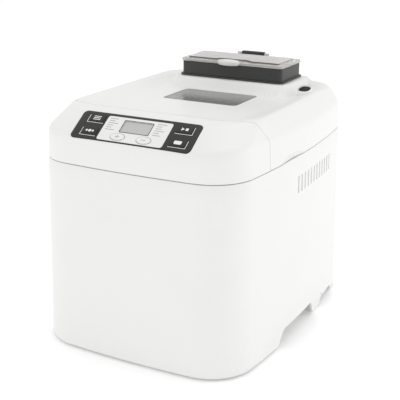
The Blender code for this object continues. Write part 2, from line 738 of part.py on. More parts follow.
def dispenser_flap():
    flap = prism(
        "dispenser_flap",
        rounded((53.5 * mm, 18 * mm), 4 * mm, (0, NECK_Y)),
        FLAP_PIVOT.z - 0.8 * mm,
        FLAP_PIVOT.z + 0.8 * mm,
        STEEL,
        origin=FLAP_PIVOT,
    )
    reach = Vector((40 * mm, 0, 0))
    add(flap, rod("add_flap_rod", FLAP_PIVOT - reach, FLAP_PIVOT + reach, 1.2 * mm, steps=8))


# ---------------------------------------------------------------- oven


def oven_chamber():
    """The sheet-metal oven: a rounded tub with a flange."""
    middle = (0, AXIS_Y)
    half_x, half_y = CHAMBER
    outer = rounded(CHAMBER, CHAMBER_RADIUS, middle)
    inner = rounded((half_x - SHEET, half_y - SHEET), CHAMBER_RADIUS - SHEET, middle)
    flange = rounded((half_x + 4 * mm, half_y + 4 * mm), CHAMBER_RADIUS + 4 * mm, middle)
    rings = [at(outer, CHAMBER_FLOOR_Z), at(outer, CHAMBER_TOP_Z - SHEET)]
    rings += [at(flange, CHAMBER_TOP_Z - SHEET), at(flange, CHAMBER_TOP_Z)]
    rings += [at(inner, CHAMBER_TOP_Z), at(inner, CHAMBER_FLOOR_Z + SHEET)]
    chamber = loft("oven_chamber", rings, STEEL)
    front = AXIS_Y - half_y
    holes = [
        rod_rings((x, front - 5 * mm, z), (x, front + 5 * mm, z), r + GAP, 10)
        for x, z, r in ((-14 * mm, 85 * mm, 3.1 * mm), (14 * mm, 85 * mm, 3.1 * mm), SENSOR)
    ]
    holes.append(rod_rings((0, AXIS_Y, 45 * mm), (0, AXIS_Y, 58 * mm), SHAFT_RADIUS + RUNNING_GAP))
    cut(chamber, lofts("cut_chamber", holes))
    rod(
        "temperature_sensor",
        (SENSOR[0], front - 9 * mm, SENSOR[1]),
        (SENSOR[0], front + 9 * mm, SENSOR[1]),
        SENSOR[2],
        ALUMINIUM,
        steps=10,
    )


def chamber_collar():
    """The white ring between the housing and the mouth of the chamber."""
    low, high = CHAMBER_TOP_Z + GAP, SEAM_Z - GAP
    collar = prism("chamber_collar", body_outline(-WALL - GAP), low, high, WHITE)
    keep(collar, blocks("keep_collar", [((-FAR, -104 * mm, 190 * mm), (FAR, FAR, 220 * mm))]))
    mouth = rounded((93.7 * mm, 99.7 * mm), 20 * mm, (0, AXIS_Y))
    notches = [
        ((side * HINGE_X - 13.5 * mm, 155.8 * mm, 190 * mm), (side * HINGE_X + 13.5 * mm, 180 * mm, 220 * mm))
        for side in (-1, 1)
    ]
    cut(collar, prism("cut_mouth", mouth, 190 * mm, 220 * mm), blocks("cut_collar_notch", notches))


def heating_element():
    """A tubular loop round the foot of the pan, with both ends through the front wall."""
    radius, half_x, half_y, z, gap_x = 22 * mm, 80 * mm, 90 * mm, 85 * mm, 14 * mm
    front = AXIS_Y - CHAMBER[1]
    inside = AXIS_Y - half_y
    corners = rounded((half_x, half_y), radius, (0, AXIS_Y), steps=4)
    bend = 6 * mm
    start = [(gap_x, front - 8 * mm), (gap_x, inside - bend), (gap_x + 2 * mm, inside - 2 * mm)]
    line = start + [(gap_x + bend, inside)] + corners
    line += [(-x, y) for x, y in reversed(start + [(gap_x + bend, inside)])]
    wire("heating_element", [(x, y, z) for x, y in line], 3.1 * mm, STEEL)


def chamber_supports():
    """Two channels that carry the chamber on the bottom sheet."""
    low, high = 7.5 * mm + GAP, CHAMBER_FLOOR_Z - GAP
    for name, side in (("left", -1), ("right", 1)):
        web, lip, sheet = side * 70 * mm, side * 82 * mm, 1.5 * mm
        section = [(web, low), (lip, low), (lip, low + sheet), (web + side * sheet, low + sheet)]
        section += [(web + side * sheet, high - sheet), (lip, high - sheet), (lip, high), (web, high)]
        extruded(f"chamber_support_{name}", section, -35 * mm, 75 * mm, STEEL)


def bread_pan():
    """The lift-out pan, with a bushed floor and a boss for the handle at each end."""
    middle = (0, AXIS_Y)
    foot, mouth, z = PAN_FOOT, PAN_MOUTH, PAN_TOP_Z
    lip_z = z - 3 * mm
    lip = rounded((mouth[0] + 3 * mm, mouth[1] + 3 * mm), 25 * mm, middle)
    rings = [at(rounded(foot, 18 * mm, middle), PAN_Z), at(rounded(mouth, 22 * mm, middle), lip_z)]
    rings += [at(lip, lip_z), at(lip, z)]
    rings.append(at(rounded((mouth[0] - PAN_WALL, mouth[1] - PAN_WALL), 21 * mm, middle), z))
    inner_foot = rounded((foot[0] - PAN_WALL, foot[1] - PAN_WALL), 17 * mm, middle)
    rings.append(at(inner_foot, PAN_Z + PAN_WALL))
    pan = loft("bread_pan", rings, NONSTICK)
    holes = [rod_rings((0, AXIS_Y, 55 * mm), (0, AXIS_Y, 70 * mm), SHAFT_RADIUS + RUNNING_GAP)]
    for side in (-1, 1):
        wall, outer = AXIS_Y + side * 84.8 * mm, AXIS_Y + side * 89.4 * mm
        start, end = (0, wall, HANDLE_Z), (0, outer, HANDLE_Z)
        add(pan, rod(f"add_boss_{side}", start, end, 4.4 * mm, steps=10))
        pin = AXIS_Y + side * 86.4 * mm
        holes.append(rod_rings((0, pin, HANDLE_Z), (0, outer + side * mm, HANDLE_Z), HANDLE_RADIUS + GAP))
    cut(pan, lofts("cut_pan", holes))
    base = [(34 * mm, 53.3 * mm), (37 * mm, 53.3 * mm), (37 * mm, PAN_Z - GAP), (34 * mm, PAN_Z - GAP)]
    lathe("pan_base_ring", middle, base, ALUMINIUM)


def pan_handle():
    """A wire bail, folded down to the right."""
    radius, pin_y = 14 * mm, HANDLE_SPAN - 5 * mm
    near, far = AXIS_Y - HANDLE_SPAN, AXIS_Y + HANDLE_SPAN
    line = [(0, AXIS_Y - pin_y), (0, near + 1.5 * mm), (1.5 * mm, near)]
    line += arc((HANDLE_REACH - radius, near + radius), radius, -math.pi / 2, 0, 5)
    line += arc((HANDLE_REACH - radius, far - radius), radius, 0, math.pi / 2, 5)
    line += [(1.5 * mm, far), (0, far - 1.5 * mm), (0, AXIS_Y + pin_y)]
    places = [(x, y, HANDLE_Z) for x, y in line]
    wire("pan_handle", places, HANDLE_RADIUS, STEEL, origin=(0, AXIS_Y, HANDLE_Z))


# ---------------------------------------------------------------- drive


def kneading():
    """Paddle, pan shaft and the wing under the pan."""
    middle = (0, AXIS_Y)
    axis = (0, AXIS_Y, PAN_Z)
    hub_low, bore = PAN_Z + PAN_WALL + 0.6 * mm, SHAFT_RADIUS + RUNNING_GAP
    profile = [(9 * mm, hub_low), (7.5 * mm, 84 * mm), (bore, 84 * mm), (bore, hub_low)]
    paddle = lathe("kneading_paddle", middle, profile, NONSTICK, steps=16, origin=axis)
    blade = [(6 * mm, hub_low), (35 * mm, hub_low), (33 * mm, 70 * mm), (20 * mm, 90 * mm), (6 * mm, 80 * mm)]
    add(paddle, extruded("add_blade", blade, AXIS_Y - 1.6 * mm, AXIS_Y + 1.6 * mm))
    wing_top = 58.8 * mm
    shaft = [(SHAFT_RADIUS, wing_top + GAP), (SHAFT_RADIUS, 82 * mm), (3 * mm, 83 * mm)]
    lathe("pan_shaft", middle, shaft, STEEL, steps=12, hollow=False, origin=axis)
    low = (-13 * mm, AXIS_Y - 3.5 * mm, 56 * mm)
    blocks("pan_coupling", [(low, (13 * mm, AXIS_Y + 3.5 * mm, wing_top))], STEEL, origin=axis)


def drive_line():
    """Coupling, shaft and pulley under the chamber, and the pulley on the motor."""
    middle = (0, AXIS_Y)
    axis = (0, AXIS_Y, 0)
    bore = SHAFT_RADIUS + RUNNING_GAP
    disc = [(16 * mm, 53.2 * mm), (16 * mm, 55.6 * mm)]
    coupling = lathe("drive_coupling", middle, disc, STEEL, steps=16, hollow=False, origin=axis)
    dogs = [((-6 * mm, AXIS_Y + y, 54 * mm), (6 * mm, AXIS_Y + y + 8 * mm, 58.6 * mm)) for y in DOG_STARTS]
    add(coupling, blocks("add_dogs", dogs))
    shaft = [(SHAFT_RADIUS, 10.5 * mm), (SHAFT_RADIUS, 52.9 * mm)]
    lathe("drive_shaft", middle, shaft, STEEL, steps=12, hollow=False, origin=axis)
    tube = [(14 * mm, 27 * mm), (14 * mm, 48 * mm), (24 * mm, 48 * mm), (24 * mm, 51.2 * mm)]
    lathe("bearing_housing", middle, tube + [(bore, 51.2 * mm), (bore, 27 * mm)], ALUMINIUM)
    top = PULLEY_Z + PULLEY_WIDTH
    hub, rim = 10 * mm, PULLEY_RADIUS - 4 * mm
    lower = [(bore, PULLEY_Z), (hub, PULLEY_Z), (hub, PULLEY_Z + 3 * mm), (rim, PULLEY_Z + 3 * mm)]
    outer = [(rim, PULLEY_Z), (PULLEY_RADIUS, PULLEY_Z), (PULLEY_RADIUS, top), (rim, top)]
    upper = [(rim, top - 3 * mm), (hub, top - 3 * mm), (hub, top + 3 * mm), (bore, top + 3 * mm)]
    lathe("large_pulley", middle, lower + outer + upper, CHARCOAL, steps=28, origin=axis)

    motor, motor_axis = (0, MOTOR_Y), (0, MOTOR_Y, 0)
    small = [(bore, PULLEY_Z), (MOTOR_PULLEY_RADIUS, PULLEY_Z), (MOTOR_PULLEY_RADIUS, top), (bore, top)]
    lathe("motor_pulley", motor, small, ALUMINIUM, steps=16, origin=motor_axis)
    spindle = [(SHAFT_RADIUS, 10.5 * mm), (SHAFT_RADIUS, 38 * mm)]
    lathe("motor_shaft", motor, spindle, STEEL, steps=12, hollow=False, origin=motor_axis)
    belt_low, belt_high = PULLEY_Z + 0.5 * mm, top - 0.5 * mm
    ring_plate("drive_belt", belt_line(2.8 * mm), belt_line(0.35 * mm), belt_low, belt_high, RUBBER)


def belt_line(offset):
    """An open belt round both pulleys, at an offset from their faces."""
    lean = math.asin((PULLEY_RADIUS - MOTOR_PULLEY_RADIUS) / (AXIS_Y - MOTOR_Y))
    large = arc((0, AXIS_Y), PULLEY_RADIUS + offset, -lean, math.pi + lean, 16)
    small = arc((0, MOTOR_Y), MOTOR_PULLEY_RADIUS + offset, math.pi + lean, 2 * math.pi - lean, 8)
    return large + small


def motor():
    """The induction motor on its bridge, with its run capacitor."""
    bridge_z, sheet = 33 * mm, 1.5 * mm
    low, half = 7.5 * mm + GAP, 46 * mm
    half_section = [(half - sheet, bridge_z - sheet), (half - sheet, low), (half, low), (half, bridge_z)]
    section = [(-x, z) for x, z in reversed(half_section)] + half_section
    bridge = extruded("motor_bracket", section, -150 * mm, -88 * mm, STEEL)
    cut(bridge, prism("cut_bridge", circle(10 * mm, 16, (0, MOTOR_Y)), 20 * mm, 40 * mm))
    floor = bridge_z + GAP
    body = [(MOTOR_RADIUS, floor), (MOTOR_RADIUS, 80 * mm), (MOTOR_RADIUS - 8 * mm, 86 * mm)]
    housing = lathe("drive_motor", (0, MOTOR_Y), body, BLACK_METAL, hollow=False)
    cut(housing, prism("cut_motor", circle(SHAFT_RADIUS + RUNNING_GAP, 12, (0, MOTOR_Y)), 20 * mm, 39 * mm))
    can = ((55 * mm, -140 * mm, 9 * mm), (85 * mm, -122 * mm, 48 * mm))
    blocks("motor_capacitor", [can], PALE)


def boards(slope_frame):
    """The power board beside the chamber and the control board behind the panel."""
    power = blocks("power_board", [((104 * mm, -50 * mm, 70 * mm), (105.6 * mm, 40 * mm, 140 * mm))], BOARD)
    parts = [((105 * mm, y * mm, 80 * mm), (117 * mm, (y + 18) * mm, 100 * mm)) for y in (-44, -14, 16)]
    add(power, blocks("add_power_parts", parts))
    plate = [((-62 * mm, 5 * mm, -9 * mm), (62 * mm, 39 * mm, -7.4 * mm))]
    blocks("control_board", plate, BOARD, parent=slope_frame)


# ---------------------------------------------------------------- controls


def slope_rectangle(half_width, low, high, radius, steps=4):
    middle = (low + high) / 2
    return rounded((half_width, (high - low) / 2), radius, (0, middle), steps)


def panel_outline(grow=0.0):
    return slope_rectangle(PANEL_HALF_WIDTH + grow, PANEL_LOW - grow, PANEL_HIGH + grow, 5 * mm)


def oval(half, centre, grow=0.0, count=20):
    turns = [2 * math.pi * i / count for i in range(count)]
    across, along = half[0] + grow, half[1] + grow
    return [(centre[0] + across * math.cos(t), centre[1] + along * math.sin(t)) for t in turns]


def key_outline(centre, grow=0.0):
    return rounded((KEY[0] + grow, KEY[1] + grow), 1.5 * mm, centre, steps=2)


def controls(slope_frame):
    """The charcoal plate, its white middle, the display, four keys and two oval keys."""
    back, front = -2.2 * mm, 0.4 * mm
    through = (-9 * mm, 6 * mm)
    overlay = prism("panel_overlay", panel_outline(), back, front, CHARCOAL, parent=slope_frame)
    opening = slope_rectangle(INSERT_HALF_WIDTH + GAP, INSERT_LOW - GAP, INSERT_HIGH + GAP, 3 * mm)
    cut(overlay, prism("cut_insert", opening, *through, parent=slope_frame))
    white = slope_rectangle(INSERT_HALF_WIDTH, INSERT_LOW, INSERT_HIGH, 2.6 * mm)
    insert = prism("panel_insert", white, back, front, PALE, parent=slope_frame)
    pane = slope_rectangle(DISPLAY_HALF_WIDTH, DISPLAY_LOW, DISPLAY_HIGH, 1 * mm, steps=2)
    cut(insert, prism("cut_display", pane, *through, parent=slope_frame))
    screen = slope_rectangle(
        DISPLAY_HALF_WIDTH - GAP, DISPLAY_LOW + GAP, DISPLAY_HIGH - GAP, 0.7 * mm, steps=2
    )
    prism("display_module", screen, -6.8 * mm, -0.3 * mm, LCD, parent=slope_frame)

    left, right = KEY_COLUMNS
    low, high = KEY_ROWS
    keys = {"menu": (left, high), "colour": (left, low), "start": (right, high), "loaf": (right, low)}
    for label, (x, y) in keys.items():
        cut(overlay, prism(f"cut_{label}", key_outline((x, y), GAP), *through, parent=slope_frame))
        place = {"parent": slope_frame, "origin": (x, y, 0)}
        prism(f"{label}_button", key_outline((x, y)), back, 1.2 * mm, CHARCOAL, **place)
    for label, x in (("plus", -OVAL_COLUMN), ("minus", OVAL_COLUMN)):
        centre = (x, OVAL_ROW)
        cut(insert, prism(f"cut_{label}", oval(OVAL, centre, GAP), *through, parent=slope_frame))
        place = {"parent": slope_frame, "origin": (x, OVAL_ROW, 0)}
        prism(f"{label}_button", oval(OVAL, centre), back, 1.2 * mm, PALE, **place)


# ---------------------------------------------------------------- assembly


def main():
    for leftover in list(bpy.data.objects):
        bpy.data.objects.remove(leftover)
    slope_frame = bpy.data.objects.new("slope_frame", None)
    slope_frame.location = SLOPE_FOOT
    slope_frame.rotation_euler = (SLOPE, 0, 0)
    bpy.context.scene.collection.objects.link(slope_frame)

    outer_housing()
    cord_bushing()
    base_plate()
    feet()
    control_deck(slope_frame)
    controls(slope_frame)
    boards(slope_frame)
    chamber_collar()
    oven_chamber()
    heating_element()
    chamber_supports()
    bread_pan()
    pan_handle()
    kneading()
    drive_line()
    motor()
    hinges()
    lid_shell()
    lid_fittings()
    steam_vent()
    dispenser()
    dispenser_cover()
    dispenser_flap()


main()
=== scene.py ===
"""Looks of the bread machine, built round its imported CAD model. Metres, +Z up, the front faces -Y."""

import json
import math

import bmesh
import bpy
from mathutils import Euler, Matrix, Vector


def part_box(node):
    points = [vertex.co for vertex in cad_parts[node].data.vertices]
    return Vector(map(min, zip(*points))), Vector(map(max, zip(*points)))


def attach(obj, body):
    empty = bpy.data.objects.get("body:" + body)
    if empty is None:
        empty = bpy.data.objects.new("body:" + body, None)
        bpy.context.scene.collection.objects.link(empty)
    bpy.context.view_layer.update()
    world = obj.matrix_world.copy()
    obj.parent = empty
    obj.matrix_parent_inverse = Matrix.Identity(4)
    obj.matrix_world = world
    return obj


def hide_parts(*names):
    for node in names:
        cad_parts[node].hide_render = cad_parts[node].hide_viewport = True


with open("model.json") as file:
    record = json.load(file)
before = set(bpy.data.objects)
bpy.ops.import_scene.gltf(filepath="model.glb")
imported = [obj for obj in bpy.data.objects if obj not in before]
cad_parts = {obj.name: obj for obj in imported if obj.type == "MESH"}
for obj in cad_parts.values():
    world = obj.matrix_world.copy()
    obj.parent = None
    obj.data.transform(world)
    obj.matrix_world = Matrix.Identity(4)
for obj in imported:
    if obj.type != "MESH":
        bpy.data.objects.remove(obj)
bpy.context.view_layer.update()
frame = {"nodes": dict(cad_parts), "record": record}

mm = 0.001
GAP = 0.35 * mm  # between neighbouring plastic parts
WALL = 2.6 * mm

# Outline at the seam: half width and half depth, corner radius, and the radii of the bowed sides.
# The wall flares outwards by FLARE for each metre below the seam.
SEAM_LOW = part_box("outer_housing")[1].z
SEAM_Z = SEAM_LOW + GAP
SKIRT_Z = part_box("outer_housing")[0].z
FLARE = 0.02
HALF_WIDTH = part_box("outer_housing")[1].x - FLARE * (SEAM_Z - SKIRT_Z)
HALF_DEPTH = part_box("outer_housing")[1].y - FLARE * (SEAM_Z - SKIRT_Z)
CORNER_RADIUS = 47.1 * mm
FRONT_BOW, SIDE_BOW = 1117 * mm, 1035 * mm
FRONT_STEPS, CORNER_STEPS, SIDE_STEPS = 16, 20, 16

# Cap: the sloped face, the crease, the flat rim and the dished top
SLOPE = math.radians(34.5)
SLOPE_FOOT = Vector((0, -162.5 * mm, 232.6 * mm))
SIDE_CREASE_Z = 237.2 * mm
CREASE_INSET = 1.2 * mm
RIM_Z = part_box("control_deck")[1].z
RIM_HALF_WIDTH = 109.5 * mm
RIM_FRONT_Y, RIM_BACK_Y = -127 * mm, 136.5 * mm
RIM_FRONT_RADIUS, RIM_BACK_RADIUS = 50 * mm, 38 * mm
DISH_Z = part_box("lid_window")[1].z + GAP
PLINTH_Z = 262 * mm
# Bends of the line between deck and lid, on the right half
SPLIT = [(75 * mm, -107 * mm), (106.6 * mm, -97 * mm), (120.2 * mm, -85.5 * mm), (140 * mm, -85.5 * mm)]
FAR = 220 * mm  # beyond the machine in every direction

# Lid hinge: its axis (Y, Z) and how far each hinge stands from the middle
HINGE = (162.6 * mm, 206.5 * mm)
HINGE_X = 62 * mm
# Middle of the steam vent (X, Y)
VENT = (94 * mm, 68 * mm)
# The pan's and the chamber's common axis (X, Y)
AXIS = (0, 20 * mm)

WHITE_LEVEL = (0.84, 0.838, 0.828)
CHARCOAL_LEVEL = (0.030, 0.029, 0.028)
PANEL_LEVEL = (0.016, 0.015, 0.014)


# ---------------------------------------------------------------- materials


# The share of the noise's range that a finish uses
NOISE_LOW, NOISE_HIGH = 0.3, 0.7


def fill(node, **values):
    """Sets a node's inputs; an underscore stands for a space in the input's name."""
    for name, value in values.items():
        node.inputs[name.replace("_", " ")].default_value = value


def node_material(name, base, roughness, metallic=0.0):
    """A new material with one principled shader, its node tree and that shader."""
    material = bpy.data.materials.new(name)
    material.use_nodes = True
    shader = material.node_tree.nodes["Principled BSDF"]
    fill(shader, Base_Color=(*base, 1), Roughness=roughness, Metallic=metallic)
    return material, material.node_tree, shader


def noise(tree, scale, detail=3.0, stretch=(1, 1, 1)):
    """Noise in the object's own coordinates, with a scale in features per metre."""
    place = tree.nodes.new("ShaderNodeTexCoord")
    mapping = tree.nodes.new("ShaderNodeMapping")
    fill(mapping, Scale=stretch)
    texture = tree.nodes.new("ShaderNodeTexNoise")
    fill(texture, Scale=scale, Detail=detail)
    tree.links.new(place.outputs["Object"], mapping.inputs["Vector"])
    tree.links.new(mapping.outputs["Vector"], texture.inputs["Vector"])
    return texture.outputs["Fac"]


def spread(tree, value, low, high):
    """Maps noise to a range."""
    ramp = tree.nodes.new("ShaderNodeMapRange")
    fill(ramp, From_Min=NOISE_LOW, From_Max=NOISE_HIGH, To_Min=low, To_Max=high)
    tree.links.new(value, ramp.inputs["Value"])
    return ramp.outputs["Result"]


def tint(tree, value, dark, light):
    """Maps noise to a blend of two colours."""
    ramp = tree.nodes.new("ShaderNodeValToRGB")
    stops = ((NOISE_LOW, dark), (NOISE_HIGH, light))
    for element, (position, colour) in zip(ramp.color_ramp.elements, stops):
        element.position, element.color = position, (*colour, 1)
    tree.links.new(value, ramp.inputs["Fac"])
    return ramp.outputs["Color"]


def bump(tree, shader, value, strength, depth):
    node = tree.nodes.new("ShaderNodeBump")
    fill(node, Strength=strength, Distance=depth)
    tree.links.new(value, node.inputs["Height"])
    tree.links.new(node.outputs["Normal"], shader.inputs["Normal"])


def grained(name, base, roughness, metallic=0.0, grain=1400, depth=0.02 * mm, vary=0.04, stretch=(1, 1, 1)):
    """A finish with fine grain, patches of slightly different roughness and a little colour variation."""
    material, tree, shader = node_material(name, base, roughness, metallic)
    fine = noise(tree, grain, 2.0, stretch)
    broad = noise(tree, 14, 4.0)
    dark = tuple(c * (1 - vary) for c in base)
    light = tuple(min(1.0, c * (1 + vary / 2)) for c in base)
    tree.links.new(tint(tree, broad, dark, light), shader.inputs["Base Color"])
    tree.links.new(spread(tree, broad, roughness * 0.88, roughness * 1.12), shader.inputs["Roughness"])
    bump(tree, shader, fine, 0.25, depth)
    return material


def clear(name, base, roughness, transmission, grain=30):
    """A clear or smoky plastic or glass, with faint smears in its gloss."""
    material, tree, shader = node_material(name, base, roughness)
    fill(shader, Transmission_Weight=transmission, IOR=1.49)
    smear = noise(tree, grain, 4.0)
    tree.links.new(spread(tree, smear, roughness * 0.6, roughness * 1.6), shader.inputs["Roughness"])
    bump(tree, shader, smear, 0.05, 0.05 * mm)
    return material


MATERIALS = {
    "white_plastic": grained("white_plastic", WHITE_LEVEL, 0.34, grain=1800, depth=0.012 * mm, vary=0.012),
    "white_trim": grained("white_trim", (0.83, 0.83, 0.82), 0.45, grain=1500, vary=0.015),
    "panel_charcoal": grained("panel_charcoal", PANEL_LEVEL, 0.42, grain=1600, vary=0.12),
    "charcoal_plastic": grained("charcoal_plastic", CHARCOAL_LEVEL, 0.40, 0.0, 1600, 0.03 * mm, 0.12),
    "smoke_clear": clear("smoke_clear", (0.88, 0.86, 0.83), 0.12, 0.60),
    "tab_clear": clear("tab_clear", (0.93, 0.92, 0.90), 0.16, 0.25),
    # painted shade: a dark finish for the strip that stands for the shaded line at the dispenser field's
    # step
    "step_shade_dark": grained("step_shade_dark", (0.10, 0.09, 0.08), 0.3, grain=900, depth=0.005 * mm, vary=0.15),
    "window_glass": clear("window_glass", (0.60, 0.60, 0.59), 0.20, 0.80, 5),
    "display": grained("display", (0.53, 0.535, 0.52), 0.22, grain=900, depth=0.005 * mm, vary=0.06),
    "rubber": grained("rubber", (0.035, 0.035, 0.035), 0.8, grain=900, depth=0.06 * mm, vary=0.2),
    "silicone": grained("silicone", (0.50, 0.50, 0.48), 0.6, grain=700, vary=0.06),
    "sheet_steel": grained("sheet_steel", (0.60, 0.60, 0.59), 0.33, 1.0, 260, 0.03 * mm, 0.06, (1, 1, 9)),
    "bright_steel": grained("bright_steel", (0.66, 0.66, 0.65), 0.22, 1.0, 500, 0.02 * mm, 0.05, (1, 6, 1)),
    "aluminium": grained("aluminium", (0.72, 0.72, 0.73), 0.42, 1.0, 500, 0.04 * mm, 0.05),
    "nonstick_coating": grained("nonstick_coating", (0.055, 0.055, 0.058), 0.36, 0.1, 1100, 0.05 * mm, 0.15),
    "motor_black": grained("motor_black", (0.04, 0.04, 0.045), 0.5, 0.4, 700, 0.04 * mm, 0.15),
    "circuit_board": grained("circuit_board", (0.03, 0.16, 0.07), 0.5, 0.0, 300, 0.03 * mm, 0.25),
    "print_white": grained("print_white", (0.86, 0.86, 0.85), 0.5, grain=900, vary=0.03),
    "print_grey": grained("print_grey", (0.42, 0.42, 0.41), 0.5, grain=900, vary=0.05),
    "key_black": grained("key_black", (0.007, 0.0065, 0.006), 0.34, grain=1600, vary=0.15),
    "dark_throat": grained("dark_throat", (0.03, 0.03, 0.03), 0.6, grain=500, vary=0.2),
}

# ---------------------------------------------------------------- outlines


def corner_centre():
    """Centre of the corner arc that touches the bowed front and the bowed side."""
    front, side = Vector((0, FRONT_BOW - HALF_DEPTH)), Vector((HALF_WIDTH - SIDE_BOW, 0))
    to_front, to_side = FRONT_BOW - CORNER_RADIUS, SIDE_BOW - CORNER_RADIUS
    between = side - front
    along = (between.length_squared + to_front**2 - to_side**2) / (2 * between.length)
    unit = between.normalized()
    return front + unit * along + Vector((-unit.y, unit.x)) * math.sqrt(to_front**2 - along**2)


def arc(centre, radius, start, end, steps):
    angles = [start + (end - start) * i / steps for i in range(steps + 1)]
    return [(centre[0] + radius * math.cos(a), centre[1] + radius * math.sin(a)) for a in angles]


def body_outline(offset=0.0):
    """The bowed outline, grown by offset, anticlockwise from the middle of the front."""
    front, side = Vector((0, FRONT_BOW - HALF_DEPTH)), Vector((HALF_WIDTH - SIDE_BOW, 0))
    corner = corner_centre()
    turn_in = math.atan2(corner.y - front.y, corner.x - front.x)
    turn_out = math.atan2(corner.y - side.y, corner.x - side.x)
    quarter = arc(front, FRONT_BOW + offset, -math.pi / 2, turn_in, FRONT_STEPS)[:-1]
    quarter += arc(corner, CORNER_RADIUS + offset, turn_in, turn_out, CORNER_STEPS)
    quarter += arc(side, SIDE_BOW + offset, turn_out, 0, SIDE_STEPS)[1:]
    half = quarter + [(x, -y) for x, y in reversed(quarter[:-1])]
    return half + [(-x, y) for x, y in reversed(half[1:-1])]


def rim_quarter(half_width, half_depth, radius):
    """A quarter of the rim with as many points as a quarter of the body's outline."""
    x, y = half_width - radius, half_depth - radius
    points = [(x * i / FRONT_STEPS, -half_depth) for i in range(FRONT_STEPS)]
    points += arc((x, -y), radius, -math.pi / 2, 0, CORNER_STEPS)
    return points + [(half_width, -y * (1 - i / SIDE_STEPS)) for i in range(1, SIDE_STEPS + 1)]


def rim_outline(inset=0.0):
    half_width = RIM_HALF_WIDTH - inset
    front = rim_quarter(half_width, -RIM_FRONT_Y - inset, RIM_FRONT_RADIUS - inset)
    back = rim_quarter(half_width, RIM_BACK_Y - inset, RIM_BACK_RADIUS - inset)
    right = front + [(x, -y) for x, y in reversed(back[:-1])]
    return right + [(-x, y) for x, y in reversed(right[1:-1])]


def rounded(half, radius, centre=(0.0, 0.0), steps=8):
    """A rectangle with round corners, from its half sizes."""
    x, y = half[0] - radius, half[1] - radius
    points = []
    for turn, (cx, cy) in enumerate(((x, -y), (x, y), (-x, y), (-x, -y))):
        start = (turn - 1) * math.pi / 2
        points += arc((centre[0] + cx, centre[1] + cy), radius, start, start + math.pi / 2, steps)
    return points


def oval(half, centre=(0.0, 0.0), count=48):
    turns = [2 * math.pi * i / count for i in range(count)]
    return [(centre[0] + half[0] * math.cos(t), centre[1] + half[1] * math.sin(t)) for t in turns]


def at(points, z):
    """A ring at a height, or at a height that is a function of x and y."""
    return [Vector((x, y, z(x, y) if callable(z) else z)) for x, y in points]


def crease_height(x, y):
    """The crease follows the sloped face's plane and eases into its height along the sides."""
    on_slope = SLOPE_FOOT.z + (y - SLOPE_FOOT.y) * math.tan(SLOPE)
    ease = 1.2 * mm
    over = (on_slope - SIDE_CREASE_Z) / ease
    return SIDE_CREASE_Z - ease * math.log1p(math.exp(-min(over, 30.0)))


def quadratic(start, corner, end, t):
    return start * (1 - t) ** 2 + corner * 2 * t * (1 - t) + end * t**2


def bend(before, corner, after, reach_in, reach_out, steps):
    """Points that round a corner, from reach_in before it to reach_out after it."""
    start = corner + (before - corner).normalized() * reach_in
    end = corner + (after - corner).normalized() * reach_out
    return [tuple(quadratic(start, corner, end, k / steps)) for k in range(steps + 1)]


def curve_round(before, corner, after, steps=5):
    """Rings that round off the edge at a corner ring, as quadratic curves."""
    rings = []
    for i in range(steps + 1):
        t = i / steps
        rings.append([quadratic(a, b, c, t) for a, b, c in zip(before, corner, after)])
    return rings


def toward(ring, other, distance):
    """Each point of a ring moved a distance towards its partner."""
    return [a + (b - a).normalized() * min(distance, (b - a).length) for a, b in zip(ring, other)]


# ---------------------------------------------------------------- meshes


def skin(bm, rings, tube=False):
    """Joins rings with quads. A tube's last ring joins its first; otherwise both ends are closed."""
    loops = [[bm.verts.new(p) for p in ring] for ring in rings]
    following = loops[1:] + loops[:1] if tube else loops[1:]
    for low, high in zip(loops, following):
        for i in range(len(low)):
            j = (i + 1) % len(low)
            bm.faces.new((low[i], low[j], high[j], high[i]))
    if not tube:
        bm.faces.new(list(reversed(loops[0])))
        bm.faces.new(loops[-1])


def finish_mesh(name, bm, sharp=40):
    """Turns a bmesh into an object. Edges sharper than the angle, in degrees, stay crisp."""
    bmesh.ops.recalc_face_normals(bm, faces=bm.faces)
    mesh = bpy.data.meshes.new(name)
    bm.to_mesh(mesh)
    bm.free()
    mesh.shade_smooth()
    mesh.set_sharp_from_angle(angle=math.radians(sharp))
    obj = bpy.data.objects.new(name, mesh)
    bpy.context.scene.collection.objects.link(obj)
    return obj


def loft(name, rings, tube=False, sharp=40):
    bm = bmesh.new()
    skin(bm, rings, tube)
    return finish_mesh(name, bm, sharp)


def lofts(name, bodies, sharp=40):
    """Several closed lofts in one object."""
    bm = bmesh.new()
    for rings in bodies:
        skin(bm, rings)
    return finish_mesh(name, bm, sharp)


def prism(name, points, low, high):
    """An outline stood up between two heights."""
    return loft(name, [at(points, low), at(points, high)])


def along_x(shape, ends):
    """A shape of (y, z) points, drawn out along X."""
    return [[Vector((x, y, z)) for y, z in shape] for x in ends]


def along_y(shape, ends):
    """A shape of (x, z) points, drawn out along Y."""
    return [[Vector((x, y, z)) for x, z in shape] for y in ends]


def pillow_rings(shape, low, high, edge, steps=4):
    """Rings of a slab whose upper edge is rounded. shape(inset) gives its outline."""
    rings = [at(shape(0.0), low), at(shape(0.0), high - edge)]
    for i in range(1, steps + 1):
        turn = math.pi / 2 * i / steps
        rings.append(at(shape(edge * (1 - math.cos(turn))), high - edge + edge * math.sin(turn)))
    return rings


def boolean(target, operand, operation):
    modifier = target.modifiers.new(operand.name, "BOOLEAN")
    modifier.operation = operation
    modifier.solver = "EXACT"
    modifier.object = operand


